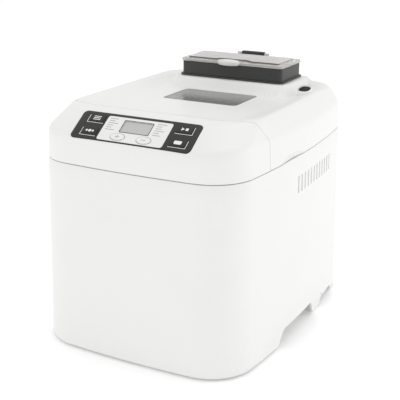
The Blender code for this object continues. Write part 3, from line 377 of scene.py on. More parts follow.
def carve(target, cuts=(), keeps=(), adds=(), sharp=40):
    """Adds, then trims to the keeps, then cuts; the operands are removed."""
    for operand in adds:
        boolean(target, operand, "UNION")
    for operand in keeps:
        boolean(target, operand, "INTERSECT")
    for operand in cuts:
        boolean(target, operand, "DIFFERENCE")
    bpy.context.view_layer.update()
    evaluated = target.evaluated_get(bpy.context.evaluated_depsgraph_get())
    mesh = bpy.data.meshes.new_from_object(evaluated)
    target.modifiers.clear()
    target.data = mesh
    for operand in (*cuts, *keeps, *adds):
        bpy.data.objects.remove(operand)
    mesh.shade_smooth()
    mesh.set_sharp_from_angle(angle=math.radians(sharp))
    return target


def dress(obj, slot, body, *nodes):
    """Gives a piece its material and body, and hides the CAD nodes that it stands for."""
    obj.data.materials.clear()
    obj.data.materials.append(MATERIALS[slot])
    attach(obj, body)
    if nodes:
        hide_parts(*nodes)
    return obj


# ---------------------------------------------------------------- housing


# From inside the rear wall to outside it
REAR_CUT = (150 * mm, 175 * mm)


def housing_shell():
    """The one-piece wall, with softened lips at the seam and at the skirt."""
    flare = FLARE * (SEAM_Z - SKIRT_Z)
    edge = 0.8 * mm
    rings = [
        at(body_outline(flare - edge), SKIRT_Z),
        at(body_outline(flare - 0.25 * edge), SKIRT_Z + 0.25 * edge),
        at(body_outline(flare), SKIRT_Z + edge),
    ]
    bands = 12
    for i in range(1, bands):
        z = SKIRT_Z + edge + (SEAM_LOW - edge - SKIRT_Z - edge) * i / bands
        rings.append(at(body_outline(FLARE * (SEAM_Z - z)), z))
    rings += [
        at(body_outline(0.02 * mm), SEAM_LOW - edge),
        at(body_outline(-0.25 * edge), SEAM_LOW - 0.25 * edge),
        at(body_outline(-edge), SEAM_LOW),
        at(body_outline(-WALL), SEAM_LOW),
        at(body_outline(flare - WALL), SKIRT_Z),
    ]
    shell = loft("housing_shell", rings, tube=True)
    carve(shell, cuts=(vent_slots(), rear_slots(), skirt_cutouts(), hinge_notches(), cord_hole()), sharp=32)
    return dress(shell, "white_plastic", "housing", "outer_housing")


def slot_rings(y, half_width, low, high, x_low, x_high):
    """An upright slot with round ends, cut along X."""
    shape = rounded((half_width, (high - low) / 2), half_width * 0.98, (0, (low + high) / 2), 5)
    return along_x([(y + u, v) for u, v in shape], (x_low, x_high))


def vent_slots():
    """The row of upright slots high on each side."""
    count, first_y, pitch = 12, -18 * mm, 9.2 * mm
    bodies = []
    for side in (-1, 1):
        for i in range(count):
            y = first_y + pitch * i
            bodies.append(slot_rings(y, 1.7 * mm, 165 * mm, 184.5 * mm, side * 112 * mm, side * 135 * mm))
    return lofts("cut_vents", bodies)


def louvre_screens():
    """A pale screen close behind each side's vent slots."""
    for name, side in (("louvre_screen_left", -1), ("louvre_screen_right", 1)):
        rings = []
        for z in (160 * mm, 190 * mm):
            reach = FLARE * (SEAM_Z - z) - WALL - 0.15 * mm
            outer = [(x, y) for x, y in body_outline(reach) if x * side > 0 and -30 * mm < y < 96 * mm]
            outer.sort(key=lambda p: p[1])
            inner = [(x - side * 1 * mm, y) for x, y in reversed(outer)]
            rings.append(at(outer + inner, z))
        dress(loft(name, rings), "white_plastic", "housing")


def rear_slots():
    """The group of slots low on the rear wall, where the motor's air leaves."""
    count, first_x, pitch = 9, 14 * mm, 7 * mm
    bodies = []
    for i in range(count):
        shape = rounded((1.5 * mm, 15 * mm), 1.45 * mm, (first_x + pitch * i, 60 * mm), 5)
        bodies.append(along_y(shape, REAR_CUT))
    return lofts("cut_rear", bodies)


def soft_corners(points, radius, steps=4):
    """A polygon with each corner rounded by a quadratic curve."""
    out = []
    for i, corner in enumerate(points):
        corner = Vector(corner)
        before, after = Vector(points[i - 1]), Vector(points[(i + 1) % len(points)])
        reach_in = min(radius, (before - corner).length * 0.45)
        reach_out = min(radius, (after - corner).length * 0.45)
        out += bend(before, corner, after, reach_in, reach_out, steps)
    return out


def skirt_cutouts():
    """The hand hold and the smaller gap behind it, in the lower edge of both sides."""
    top, rear_top, below = 18.5 * mm, 10 * mm, -5 * mm
    hand_hold = [(-68, below), (38.5, below), (30, top), (-49, top), (-55, 13 * mm)]
    rear_gap = [(60, below), (112, below), (107, rear_top), (64, rear_top)]
    bodies = []
    for shape in (hand_hold, rear_gap):
        soft = soft_corners([(y * mm, z) for y, z in shape], 4 * mm)
        for side in (-1, 1):
            bodies.append(along_x(soft, (side * 108 * mm, side * 140 * mm)))
    return lofts("cut_skirt", bodies)


def hinge_notches():
    """Room for the lid's knuckles in the wall's upper edge."""
    reach, below = 13 * mm, 4.4 * mm
    bodies = []
    for side in (-1, 1):
        plan = rounded((reach, 12.5 * mm), 1 * mm, (side * HINGE_X, 162.5 * mm), 2)
        bodies.append([at(plan, SEAM_Z - below), at(plan, SEAM_Z + 5 * mm)])
    return lofts("cut_notches", bodies)


def cord_hole():
    return loft("cut_cord", along_y(oval((8 * mm, 8 * mm), (-60 * mm, 32 * mm), 32), REAR_CUT))


# ---------------------------------------------------------------- cap


RIM_RINGS = 7  # rings that round the rim


def cap_side_rings(top_inset):
    """From the seam, over the crease and up to the rim, with every edge rounded."""
    seam_z = SEAM_Z + GAP
    foot = at(body_outline(), seam_z)
    crease = at(body_outline(-CREASE_INSET), crease_height)
    rim = at(rim_outline(), RIM_Z)
    inner = at(rim_outline(top_inset), RIM_Z)
    edge = 0.8 * mm
    rings = [at(body_outline(-edge), seam_z), at(body_outline(-0.25 * edge), seam_z + 0.25 * edge)]
    rings.append(toward(foot, crease, edge))
    rings += curve_round(toward(crease, foot, 6 * mm), crease, toward(crease, rim, 6 * mm), 8)
    rings += curve_round(toward(rim, crease, 3.5 * mm), rim, inner, RIM_RINGS - 1)
    return rings


def split_prism(name, forward, shift):
    """All that lies before, or behind, the line between deck and lid."""
    right = [(x, y + shift) for x, y in soft_split()]
    line = [(-x, y) for x, y in reversed(right)] + right
    far_y = -FAR if forward else FAR
    x = SPLIT[-1][0]
    return prism(name, line + [(x, far_y), (-x, far_y)], 150 * mm, 300 * mm)


def soft_split():
    """The right half of the line between deck and lid, with its bends rounded."""
    points = [Vector(p) for p in SPLIT]
    middle = (1 * mm, SPLIT[0][1])
    out = [middle]
    for before, corner, after in zip([Vector(middle)] + points, points, points[1:]):
        reach = min(7 * mm, (before - corner).length * 0.45, (after - corner).length * 0.45)
        out += bend(before, corner, after, reach, reach, 6)
    return out + [SPLIT[-1]]


def hollow_rings(top):
    """The space inside the cap, a wall's thickness in, up to a flat top."""
    crease = at(body_outline(-CREASE_INSET - WALL), lambda x, y: crease_height(x, y) - 1 * mm)
    rim = at(rim_outline(1.5 * mm), RIM_Z - WALL)
    share = (top - SIDE_CREASE_Z) / (RIM_Z - WALL - SIDE_CREASE_Z)
    high = [low.lerp(end, share) for low, end in zip(crease, rim)]
    for point in high:
        point.z = top
    return [at(body_outline(-WALL), SEAM_Z - 5 * mm), crease, high]


def deck_shell():
    deck = loft("deck_shell", cap_side_rings(4 * mm))
    carve(deck, keeps=(split_prism("keep_deck", True, -GAP),))
    hollow = loft("cut_hollow", hollow_rings(RIM_Z - WALL))
    carve(hollow, keeps=(split_prism("keep_hollow", True, -GAP - WALL),))
    pocket = slope_loft("cut_pocket", [panel_ring(GAP, -12 * mm), panel_ring(GAP, 8 * mm)])
    carve(deck, cuts=(hollow, pocket), sharp=32)
    return dress(deck, "white_plastic", "housing", "control_deck")


def rounded_distance(x, y, half, radius, centre):
    """Distance from a rounded rectangle's edge, negative inside it."""
    u = abs(x - centre[0]) - (half[0] - radius)
    v = abs(y - centre[1]) - (half[1] - radius)
    return math.hypot(max(u, 0.0), max(v, 0.0)) + min(max(u, v), 0.0) - radius


def smooth(t):
    """Eases from 0 to 1."""
    t = min(max(t, 0.0), 1.0)
    return t * t * (3 - 2 * t)


def plinth_height(x, y):
    """A flat step under the dispenser, which falls away softly on every side."""
    outside = rounded_distance(x, y, (71.5 * mm, 38 * mm), 9 * mm, (0, 100 * mm))
    return PLINTH_Z - (PLINTH_Z - DISH_Z + 2 * mm) * smooth(outside / (13 * mm))


def lift_rim(rings):
    """Raises the rim's rounded edge where the plinth runs out over it at the back."""
    for step, ring in enumerate(rings):
        share = smooth(step / (len(rings) - 1))
        for point in ring:
            point.z += share * max(0.0, plinth_height(point.x, point.y) - RIM_Z)


def lid_height(x, y):
    """Height of the lid's top: a wide shallow dish, and the plinth that rises out of it at the back."""
    inside = -rounded_distance(x, y, (107 * mm, 119.5 * mm), 40 * mm, (0, 15 * mm))
    dish = RIM_Z - (RIM_Z - DISH_Z) * smooth(inside / (30 * mm)) ** 0.9
    raised = plinth_height(x, y)
    blend = 1.2 * mm
    gap = (raised - dish) / blend
    if gap > 30:
        return raised
    return dish + blend * math.log1p(math.exp(gap)) - blend * math.log(2) * math.exp(-abs(gap))


def lid_cover():
    """The lid: the cap behind the split line, its top drawn as rings that shrink to the middle."""
    rings = cap_side_rings(3 * mm)
    lift_rim(rings[-RIM_RINGS:])
    edge_ring = rings[-1]
    centre = Vector((*AXIS, 0))
    count = 60
    for i in range(1, count):
        share = 1 - i / count
        ring = []
        for p in edge_ring:
            flat = Vector((p.x, p.y, 0)).lerp(centre, 1 - share)
            ring.append(Vector((flat.x, flat.y, min(lid_height(flat.x, flat.y), PLINTH_Z))))
        rings.append(ring)
    lid = loft("lid_cover", rings)
    hollow = loft("cut_hollow", hollow_rings(DISH_Z - WALL))
    carve(hollow, keeps=(split_prism("keep_hollow", False, GAP + WALL),), adds=(plinth_hollow(),))
    window_low, window_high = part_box("lid_window")
    neck = rounded((NECK[0] + GAP, NECK[1] + GAP), 5 * mm, NECK_MIDDLE)
    window_half = ((window_high.x - window_low.x) / 2 + GAP, (window_high.y - window_low.y) / 2 + GAP)
    window = rounded(window_half, 6 * mm, (0, (window_high.y + window_low.y) / 2))
    carve(lid, keeps=(split_prism("keep_lid", False, GAP),))
    carve(
        lid,
        cuts=(
            hollow,
            prism("cut_window", window, 230 * mm, 265 * mm),
            prism("cut_neck", neck, 230 * mm, 265 * mm),
            prism("cut_vent", oval((8.7 * mm, 8.7 * mm), VENT, 32), 230 * mm, 270 * mm),
            scoops(),
            knuckle_room(),
            rear_chamfer(),
        ),
        sharp=32,
    )
    reach, radius = 14 * mm, 1.85 * mm
    pin_holes = [tube_rings(x - reach, x + reach, radius, HINGE) for x in (-HINGE_X, HINGE_X)]
    carve(lid, adds=knuckles(), cuts=(lofts("cut_pins", pin_holes),), sharp=32)
    return dress(lid, "white_plastic", "lid", "lid_shell")


def plinth_hollow():
    """The space under the plinth, open to the inside of the lid."""
    foot = rounded((73 * mm, 38 * mm), 12 * mm, (0, 96 * mm))
    head = rounded((69 * mm, 34.5 * mm), 8 * mm, (0, 99.5 * mm))
    low, bend_z, high = DISH_Z - WALL - 3 * mm, DISH_Z - 1 * mm, PLINTH_Z - WALL
    return loft("add_plinth", [at(foot, low), at(foot, bend_z), at(head, high)])


def rear_chamfer():
    """Takes the rear lower edge off, so that it clears the housing as the lid swings back."""
    start = Vector((HINGE[0] - 1.4 * mm, HINGE[1] - 0.5 * mm))
    size = 12 * mm
    section = [(start.x, start.y), (start.x + size, start.y), (start.x + size, start.y + size)]
    return loft("cut_chamfer", along_x(section, (-FAR, FAR)))


def scoops():
    """Thumb hollows in the lower edge of both sides: the skin of a long egg, half sunk in the wall."""
    bodies = []
    slices = 16
    for side in (-1, 1):
        centre = Vector((side * (HALF_WIDTH + 0.6 * mm), -40 * mm, SEAM_Z + 1 * mm))
        rings = []
        for i in range(1, slices):
            turn = math.pi * i / slices
            y = centre.y - 34 * mm * math.cos(turn)
            size = math.sin(turn)
            shape = oval((3.6 * mm * size, 6.5 * mm * size), (centre.x, centre.z), 24)
            rings.append([Vector((x, y, z)) for x, z in shape])
        bodies.append(rings)
    return lofts("cut_scoops", bodies)


def tube_rings(x_low, x_high, radius, centre, count=24):
    """A rod along X, round a centre (Y, Z)."""
    return along_x(oval((radius, radius), centre, count), (x_low, x_high))


def knuckles():
    """The lid's half of both hinges: two barrels each, with room for the bracket's between them."""
    made = []
    for side in (-1, 1):
        for reach in (-8, 8):
            x = side * HINGE_X + reach * mm
            made.append(loft(f"knuckle_{side}_{reach}", tube_rings(x - 4 * mm, x + 4 * mm, 3.8 * mm, HINGE)))
    return tuple(made)


def knuckle_room():
    """Room in the lid for the bracket's barrels."""
    bodies = []
    for side in (-1, 1):
        plan = rounded((4.1 * mm, 7 * mm), 0.8 * mm, (side * HINGE_X, 163 * mm), 2)
        bodies.append([at(plan, 200 * mm), at(plan, HINGE[1] + 4.4 * mm)])
    return lofts("cut_room", bodies)


# ---------------------------------------------------------------- controls

# The panel is drawn flat, X across and Y up the slope, then moved onto the sloped face
SLOPE_MATRIX = Matrix.Translation(SLOPE_FOOT) @ Euler((SLOPE, 0, 0)).to_matrix().to_4x4()
PANEL_HALF_WIDTH, PANEL_LOW, PANEL_HIGH = 68.7 * mm, 4.5 * mm, 41 * mm
INSERT_HALF_WIDTH, INSERT_LOW, INSERT_HIGH = 37.5 * mm, 5.8 * mm, 37.8 * mm
DISPLAY_HALF_WIDTH, DISPLAY_LOW, DISPLAY_HIGH = 16.5 * mm, 18.7 * mm, 34 * mm
KEY = (9 * mm, 4.9 * mm)
OVAL = (7.9 * mm, 4.3 * mm)
LEFT_X, RIGHT_X = -49 * mm, 52 * mm
LOW_ROW, HIGH_ROW = 14.8 * mm, 32.2 * mm
OVAL_ROW, OVAL_X = 11.8 * mm, 15 * mm
PANEL_BACK, PANEL_FRONT = -2.2 * mm, 0.4 * mm
KEY_TOP = 1.1 * mm
THROUGH = (-9 * mm, 6 * mm)


def slope_place(obj):
    """Moves a piece drawn in the slope's coordinates into the machine's."""
    obj.data.transform(SLOPE_MATRIX)
    return obj


def slope_loft(name, rings, sharp=40):
    return slope_place(loft(name, rings, sharp=sharp))


def slope_box(half_width, low, high, radius, inset=0.0):
    half = (half_width - inset, (high - low) / 2 - inset)
    return rounded(half, max(radius - inset, 0.2 * mm), (0, (low + high) / 2))


def panel_ring(grow, z):
    return at(slope_box(PANEL_HALF_WIDTH + grow, PANEL_LOW - grow, PANEL_HIGH + grow, 5 * mm), z)


def key_box(centre, inset=0.0, grow=0.0):
    half = (KEY[0] - inset + grow, KEY[1] - inset + grow)
    return rounded(half, 1.6 * mm, centre, 4)


def panel():
    """The charcoal plate, the white plate in its middle and the line round the display."""
    def plate(inset):
        return slope_box(PANEL_HALF_WIDTH, PANEL_LOW, PANEL_HIGH, 5 * mm, inset)

    def insert(inset):
        return slope_box(INSERT_HALF_WIDTH, INSERT_LOW, INSERT_HIGH, 2.6 * mm, inset)

    overlay = loft("panel_plate", pillow_rings(plate, PANEL_BACK, PANEL_FRONT, 0.3 * mm))
    seam = 0.15 * mm
    opening = slope_box(INSERT_HALF_WIDTH + seam, INSERT_LOW - seam, INSERT_HIGH + seam, 3 * mm)
    keys = [key_box((x, y), grow=0.25 * mm) for x in (LEFT_X, RIGHT_X) for y in (LOW_ROW, HIGH_ROW)]
    holes = [[at(shape, z) for z in THROUGH] for shape in [opening, *keys]]
    carve(overlay, cuts=(lofts("cut_keys", holes),))
    slope_place(overlay)
    dress(overlay, "panel_charcoal", "housing", "panel_overlay")

    middle = loft("panel_middle", pillow_rings(insert, PANEL_BACK, PANEL_FRONT, 0.2 * mm))
    pane = slope_box(DISPLAY_HALF_WIDTH, DISPLAY_LOW, DISPLAY_HIGH, 0.9 * mm)
    ovals = [oval((OVAL[0] + 0.2 * mm, OVAL[1] + 0.2 * mm), (x, OVAL_ROW)) for x in (-OVAL_X, OVAL_X)]
    holes = [[at(shape, z) for z in THROUGH] for shape in [pane, *ovals]]
    carve(middle, cuts=(lofts("cut_middle", holes),))
    slope_place(middle)
    dress(middle, "white_trim", "housing", "panel_insert")

    def display_box(grow, radius):
        return slope_box(DISPLAY_HALF_WIDTH + grow, DISPLAY_LOW - grow, DISPLAY_HIGH + grow, radius)

    low, high = PANEL_FRONT + 0.02 * mm, PANEL_FRONT + 0.12 * mm
    rings = [at(display_box(0.55 * mm, 1.2 * mm), z) for z in (low, high)]
    rings += [at(display_box(-0.1 * mm, 0.8 * mm), z) for z in (high, low)]
    bezel = slope_place(loft("display_bezel", rings, tube=True))
    dress(bezel, "charcoal_plastic", "housing")


def bar(x_low, x_high, y_low, y_high):
    """A flat rectangle's outline."""
    return [(x_low, y_low), (x_high, y_low), (x_high, y_high), (x_low, y_high)]


def print_on(name, shapes, z, material, body, thickness=0.06 * mm):
    """A thin print or inlay: flat shapes in the slope's coordinates."""
    bodies = [[at(shape, z + 0.01 * mm), at(shape, z + thickness)] for shape in shapes]
    return dress(slope_place(lofts(name, bodies)), material, body)


def keys():
    """Four dark keys with plain icons, and two oval keys in outlined rings."""
    loaf = [(-4 * mm, -2.2 * mm), (4 * mm, -2.2 * mm), (4.4 * mm, 2.2 * mm), (-4.4 * mm, 2.2 * mm)]
    icons = {
        "menu": [bar(-4.2 * mm, 4.2 * mm, y * mm, (y + 0.9) * mm) for y in (-2.5, -0.45, 1.6)],
        "colour": [
            oval((1.25 * mm, 1.25 * mm), (-3.6 * mm, 0), 24),
            oval((1.75 * mm, 1.75 * mm), (0, 0), 24),
            oval((1.25 * mm, 1.25 * mm), (3.6 * mm, 0), 24),
        ],
        "start": [
            [(-3.6 * mm, -2 * mm), (-0.2 * mm, 0), (-3.6 * mm, 2 * mm)],
            bar(1 * mm, 4 * mm, -1.6 * mm, 1.6 * mm),
        ],
        "loaf": [soft_corners(loaf, 1.4 * mm)],
    }
    places = {
        "menu": (LEFT_X, HIGH_ROW),
        "colour": (LEFT_X, LOW_ROW),
        "start": (RIGHT_X, HIGH_ROW),
        "loaf": (RIGHT_X, LOW_ROW),
    }
    for label, centre in places.items():
        body = f"{label}_button"
        rings = pillow_rings(lambda i: key_box(centre, i), PANEL_BACK, KEY_TOP, 0.55 * mm)
        cap = slope_loft(f"{label}_key", rings)
        dress(cap, "key_black", body, body)
        shapes = [[(x + centre[0], y + centre[1]) for x, y in shape] for shape in icons[label]]
        print_on(f"{label}_icon", shapes, KEY_TOP, "print_white", body)
    for label, x in (("plus", -OVAL_X), ("minus", OVAL_X)):
        body = f"{label}_button"
        centre = (x, OVAL_ROW)
        rings = pillow_rings(
            lambda i: oval((OVAL[0] - i, OVAL[1] - i), centre), PANEL_BACK, KEY_TOP, 0.5 * mm
        )
        dress(slope_loft(f"{label}_key", rings), "white_trim", body, body)
        shapes = [bar(x - 2.6 * mm, x + 2.6 * mm, OVAL_ROW - 0.4 * mm, OVAL_ROW + 0.4 * mm)]
        if label == "plus":
            shapes.append(bar(x - 0.4 * mm, x + 0.4 * mm, OVAL_ROW + 0.45 * mm, OVAL_ROW + 2.2 * mm))
            shapes.append(bar(x - 0.4 * mm, x + 0.4 * mm, OVAL_ROW - 2.2 * mm, OVAL_ROW - 0.45 * mm))
        print_on(f"{label}_icon", shapes, KEY_TOP, "print_grey", body)
        outer, inner = (OVAL[0] + 0.75 * mm, OVAL[1] + 0.75 * mm), (OVAL[0] + 0.3 * mm, OVAL[1] + 0.3 * mm)
        z_low, z_high = PANEL_FRONT + 0.01 * mm, PANEL_FRONT + 0.07 * mm
        rings = [at(oval(outer, centre), z) for z in (z_low, z_high)]
        rings += [at(oval(inner, centre), z) for z in (z_high, z_low)]
        dress(slope_place(loft(f"{label}_ring", rings, tube=True)), "print_grey", "housing")


def panel_print():
    """White corner lines beside the four keys, and rows of short marks beside the display."""
    line = 0.55 * mm
    lines = []
    for x, outward in ((LEFT_X, -1), (RIGHT_X, 1)):
        for y in (LOW_ROW, HIGH_ROW):
            edge = x + outward * (KEY[0] + 0.6 * mm)
            low = y - KEY[1] - 0.65 * mm
            across = sorted((edge, x - outward * KEY[0]))
            lines.append(bar(across[0], across[1], low - line, low))
            upright = sorted((edge, edge + outward * line))
            lines.append(bar(upright[0], upright[1], low - line, y + KEY[1] - 1 * mm))
    print_on("panel_lines", lines, PANEL_FRONT, "print_white", "housing")
    marks = []
    widths = (9, 6.5, 11, 7, 6, 10.5)
    left, right, top, pitch = -34, 20.5, 34.2, 2.9
    for row, (width, other) in enumerate(zip(widths, reversed(widths))):
        y = top * mm - row * pitch * mm
        marks.append(bar(left * mm, (left + width) * mm, y, y + 0.8 * mm))
        marks.append(bar(right * mm, (right + other) * mm, y, y + 0.8 * mm))
    print_on("programme_marks", marks, PANEL_FRONT, "print_grey", "housing")


# ---------------------------------------------------------------- lid fittings

# The dispenser's neck, box and flange: middles (X, Y) and half sizes
NECK_MIDDLE = (0, 91 * mm)
BOX_MIDDLE = (0, 97.6 * mm)
BOX = (64.9 * mm, 29.8 * mm)
FLANGE = (67.4 * mm, 32.3 * mm)
NECK = (57.5 * mm, 21.5 * mm)
FLANGE_Z = PLINTH_Z + GAP
FLANGE_HEIGHT = 2.2 * mm
BOX_TOP_Z = 279 * mm
COVER_TOP_Z = 282.6 * mm
COVER_PIVOT = Vector((0, 132.7 * mm, 282.6 * mm))


def soft_ring(half, radius, inset, z, middle):
    """A rounded rectangle, drawn in by an inset, at a height."""
    size = (half[0] - inset, half[1] - inset)
    return at(rounded(size, max(radius - inset, 0.5 * mm), middle, 8), z)


def cover_pin_hole():
    reach, radius = 25 * mm, 1.35 * mm
    return loft("cut_pin", tube_rings(-reach, reach, radius, (COVER_PIVOT.y, COVER_PIVOT.z), 16))


def dispenser_body():
    """The ingredient box, its flange on the plinth, its neck and the bar that carries the cover."""

    def ring(half, radius, inset, z, middle=BOX_MIDDLE):
        return soft_ring(half, radius, inset, z, middle)

    wall_in, throat, outlet = (62.3 * mm, 27.2 * mm), (54.5 * mm, 18.5 * mm), (50 * mm, 15 * mm)
    top = FLANGE_Z + FLANGE_HEIGHT
    rings = [
        ring(NECK, 5 * mm, 0, 241 * mm, NECK_MIDDLE),
        ring(NECK, 5 * mm, 0, FLANGE_Z, NECK_MIDDLE),
        ring(FLANGE, 7.5 * mm, 0.4 * mm, FLANGE_Z),
        ring(FLANGE, 7.5 * mm, 0, FLANGE_Z + 0.4 * mm),
        ring(FLANGE, 7.5 * mm, 0, top - 0.9 * mm),
        ring(FLANGE, 7.5 * mm, 0.25 * mm, top - 0.25 * mm),
        ring(FLANGE, 7.5 * mm, 0.9 * mm, top),
        ring(BOX, 5.5 * mm, -0.5 * mm, top),
        ring(BOX, 5.5 * mm, -0.1 * mm, top + 0.2 * mm),
        ring(BOX, 5.5 * mm, 0, top + 0.7 * mm),
        ring(BOX, 5.5 * mm, 0, BOX_TOP_Z - 0.5 * mm),
        ring(BOX, 5.5 * mm, 0.4 * mm, BOX_TOP_Z),
        ring(wall_in, 4 * mm, 0, BOX_TOP_Z),
        ring(wall_in, 4 * mm, 0, FLANGE_Z + 5 * mm),
        ring(throat, 4 * mm, 0, FLANGE_Z - 1 * mm, NECK_MIDDLE),
        ring(outlet, 4 * mm, 0, 242 * mm, NECK_MIDDLE),
        ring(outlet, 4 * mm, 0, 241 * mm, NECK_MIDDLE),
    ]
    box = loft("dispenser_body", rings, tube=True)
    bar_front, bar_back = COVER_PIVOT.y - 2.2 * mm, COVER_PIVOT.y + 3.5 * mm
    half = (15 * mm, (bar_back - bar_front) / 2)
    middle = (0, (bar_front + bar_back) / 2)
    bar_top = COVER_PIVOT.z + 3.4 * mm

    def bar_shape(inset):
        return rounded((half[0] - inset, half[1] - inset), 1.4 * mm, middle, 4)

    bar = loft("add_bar", pillow_rings(bar_shape, FLANGE_Z + 0.5 * mm, bar_top, 0.9 * mm))
    foot = rounded((15 * mm, 5.5 * mm), 1 * mm, (0, bar_back - 5.5 * mm), 3)
    foot = prism("add_foot", foot, FLANGE_Z + 0.02 * mm, top - 0.02 * mm)
    carve(box, adds=(bar, foot), cuts=(cover_pin_hole(),), sharp=32)
    return dress(box, "charcoal_plastic", "lid", "dispenser_box")


def field_outline(inset, z):
    """The raised field's outline, stepped back round the thumb tab."""
    half_width, back = 58.2 * mm - inset, 22.7 * mm - inset
    front, notch_half, notch = -22.7 * mm + inset, 19 * mm + inset, 5.5 * mm
    corners = [
        (-half_width, front),
        (-notch_half - 4 * mm, front),
        (-notch_half + 1 * mm, front + notch),
        (notch_half - 1 * mm, front + notch),
        (notch_half + 4 * mm, front),
        (half_width, front),
        (half_width, back),
        (-half_width, back),
    ]
    return at([(x, y + BOX_MIDDLE[1]) for x, y in soft_corners(corners, 2.6 * mm, 5)], z)


def painted_step_shade():
    """A thin dark strip, painted shade in the step at the front of the raised field, standing for the dark
    line that refraction makes there.
    """
    front = BOX_MIDDLE[1] - 15 * mm
    outer = [p for p in field_outline(-0.75 * mm, COVER_TOP_Z + 0.55 * mm) if p.y < front]
    inner = [p for p in field_outline(0.1 * mm, COVER_TOP_Z + 0.55 * mm) if p.y < front]
    start = max(range(len(outer)), key=lambda i: outer[i - 1].x - outer[i].x)
    outer, inner = outer[start:] + outer[:start], inner[start:] + inner[:start]
    lift = Vector((0, 0, 0.8 * mm))
    bm = bmesh.new()
    paths = (outer, inner, [p + lift for p in inner], [p + lift for p in outer])
    rows = [[bm.verts.new(p) for p in path] for path in paths]
    for near, far in zip(rows, rows[1:] + rows[:1]):
        for i in range(len(near) - 1):
            bm.faces.new((near[i], near[i + 1], far[i + 1], far[i]))
    bm.faces.new([row[0] for row in rows])
    bm.faces.new([row[-1] for row in reversed(rows)])
    dress(finish_mesh("painted_step_shade", bm), "step_shade_dark", "dispenser_cover")


def dispenser_window():
    """The clear cover: a hollow tray with a raised field and an oval thumb tab."""

    def ring(half, radius, inset, z):
        return soft_ring(half, radius, inset, z, BOX_MIDDLE)

    plate = (BOX[0] + 1.2 * mm, BOX[1] + 0.8 * mm)
    low, top = BOX_TOP_Z + GAP, COVER_TOP_Z
    rings = [
        ring(plate, 6 * mm, 0.4 * mm, low),
        ring(plate, 6 * mm, 0, low + 0.4 * mm),
        ring(plate, 6 * mm, 0, top - 0.9 * mm),
        ring(plate, 6 * mm, 0.3 * mm, top - 0.25 * mm),
        ring(plate, 6 * mm, 1 * mm, top),
    ]
    cover = loft("dispenser_window", rings)
    field = loft(
        "add_field",
        [
            field_outline(-0.8 * mm, top - 1.2 * mm),
            field_outline(-0.8 * mm, top + 0.05 * mm),
            field_outline(-0.2 * mm, top + 0.3 * mm),
            field_outline(0, top + 1.2 * mm),
            field_outline(0.4 * mm, top + 1.6 * mm),
        ],
    )
    under = [ring(plate, 6 * mm, 2.6 * mm, low - 1 * mm), ring(plate, 6 * mm, 2.8 * mm, top - 1.4 * mm)]
    under_field = [field_outline(2 * mm, top - 2 * mm), field_outline(2.2 * mm, top + 0.2 * mm)]
    tab_middle, tab_half = (-1.6 * mm, BOX_MIDDLE[1] - BOX[1] - 0.9 * mm), (14.2 * mm, 6.6 * mm)
    tab_steps = [(0.88, low - 0.5 * mm), (0.97, low + 0.6 * mm), (1, low + 1.8 * mm), (1, top)]
    tab_steps += [(0.95, top + 1 * mm), (0.83, top + 1.8 * mm)]
    tab_steps += [(0.62, top + 2.4 * mm), (0.35, top + 2.7 * mm)]
    tab_rings = [at(oval((tab_half[0] * k, tab_half[1] * k), tab_middle, 64), z) for k, z in tab_steps]
    tab = loft("thumb_tab", tab_rings, sharp=60)
    dress(tab, "tab_clear", "dispenser_cover")
    room_half = (tab_half[0] + 0.02 * mm, tab_half[1] + 0.02 * mm)
    room = prism("cut_tab", oval(room_half, tab_middle, 64), low - 2 * mm, top + 3 * mm)
    adds = [field]
    for side in (-1, 1):
        ends = sorted((side * 15.6 * mm, side * 20.4 * mm))
        adds.append(loft(f"ear_{side}", tube_rings(*ends, 2.4 * mm, (COVER_PIVOT.y, COVER_PIVOT.z), 20)))
        reach = COVER_PIVOT.y - 8 * mm
        plan = [(ends[0], reach), (ends[1], reach), (ends[1], COVER_PIVOT.y), (ends[0], COVER_PIVOT.y)]
        adds.append(prism(f"arm_{side}", plan, COVER_PIVOT.z - 1.8 * mm, top - 0.1 * mm))
    cuts = (loft("cut_a", under), loft("cut_b", under_field), cover_pin_hole(), room)
    carve(cover, adds=tuple(adds), cuts=cuts, sharp=32)
    # painted shade along the front step of the raised field
    painted_step_shade()
    return dress(cover, "smoke_clear", "dispenser_cover", "dispenser_cover")


def vent_hood():
    """A small chimney whose mouth leans towards the front, with a slatted insert in its throat."""
    radius, throat = 8.5 * mm, 7 * mm
    top, lean, foot = 263 * mm, 5 * mm, 248 * mm

    def ring(size, height):
        return [Vector((x, y, height(y))) for x, y in oval((size, size), VENT, 48)]

    def slanted(drop):
        return lambda y: top - drop - lean * smooth((VENT[1] + radius - y) / (2 * radius))

    rings = [
        ring(radius, lambda y: foot),
        ring(radius, slanted(1.6 * mm)),
        ring(radius - 0.4 * mm, slanted(0.5 * mm)),
        ring(radius - 1.1 * mm, slanted(0)),
        ring(throat + 0.4 * mm, slanted(0)),
        ring(throat, slanted(0.6 * mm)),
        ring(throat, lambda y: foot),
    ]
    dress(loft("vent_hood", rings, tube=True), "white_plastic", "lid", "steam_vent")
    insert_height = slanted(1.5 * mm)
    insert = [
        ring(throat - GAP, lambda y: 251 * mm),
        ring(throat - GAP, insert_height),
        ring(throat - GAP - 0.9 * mm, insert_height),
        ring(throat - GAP - 1.3 * mm, lambda y: insert_height(y) - 1.2 * mm),
    ]
    slats = []
    for y in (-3, -1, 1, 3):
        slat = rounded((4.6 * mm, 0.5 * mm), 0.4 * mm, (VENT[0], VENT[1] + y * mm), 3)
        slats.append([at(slat, z * mm) for z in (250, 262)])
    baffle = carve(loft("vent_insert", insert), cuts=(lofts("cut_slats", slats),))
    dress(baffle, "dark_throat", "lid", "vent_baffle")


# ---------------------------------------------------------------- what shows when the lid is open


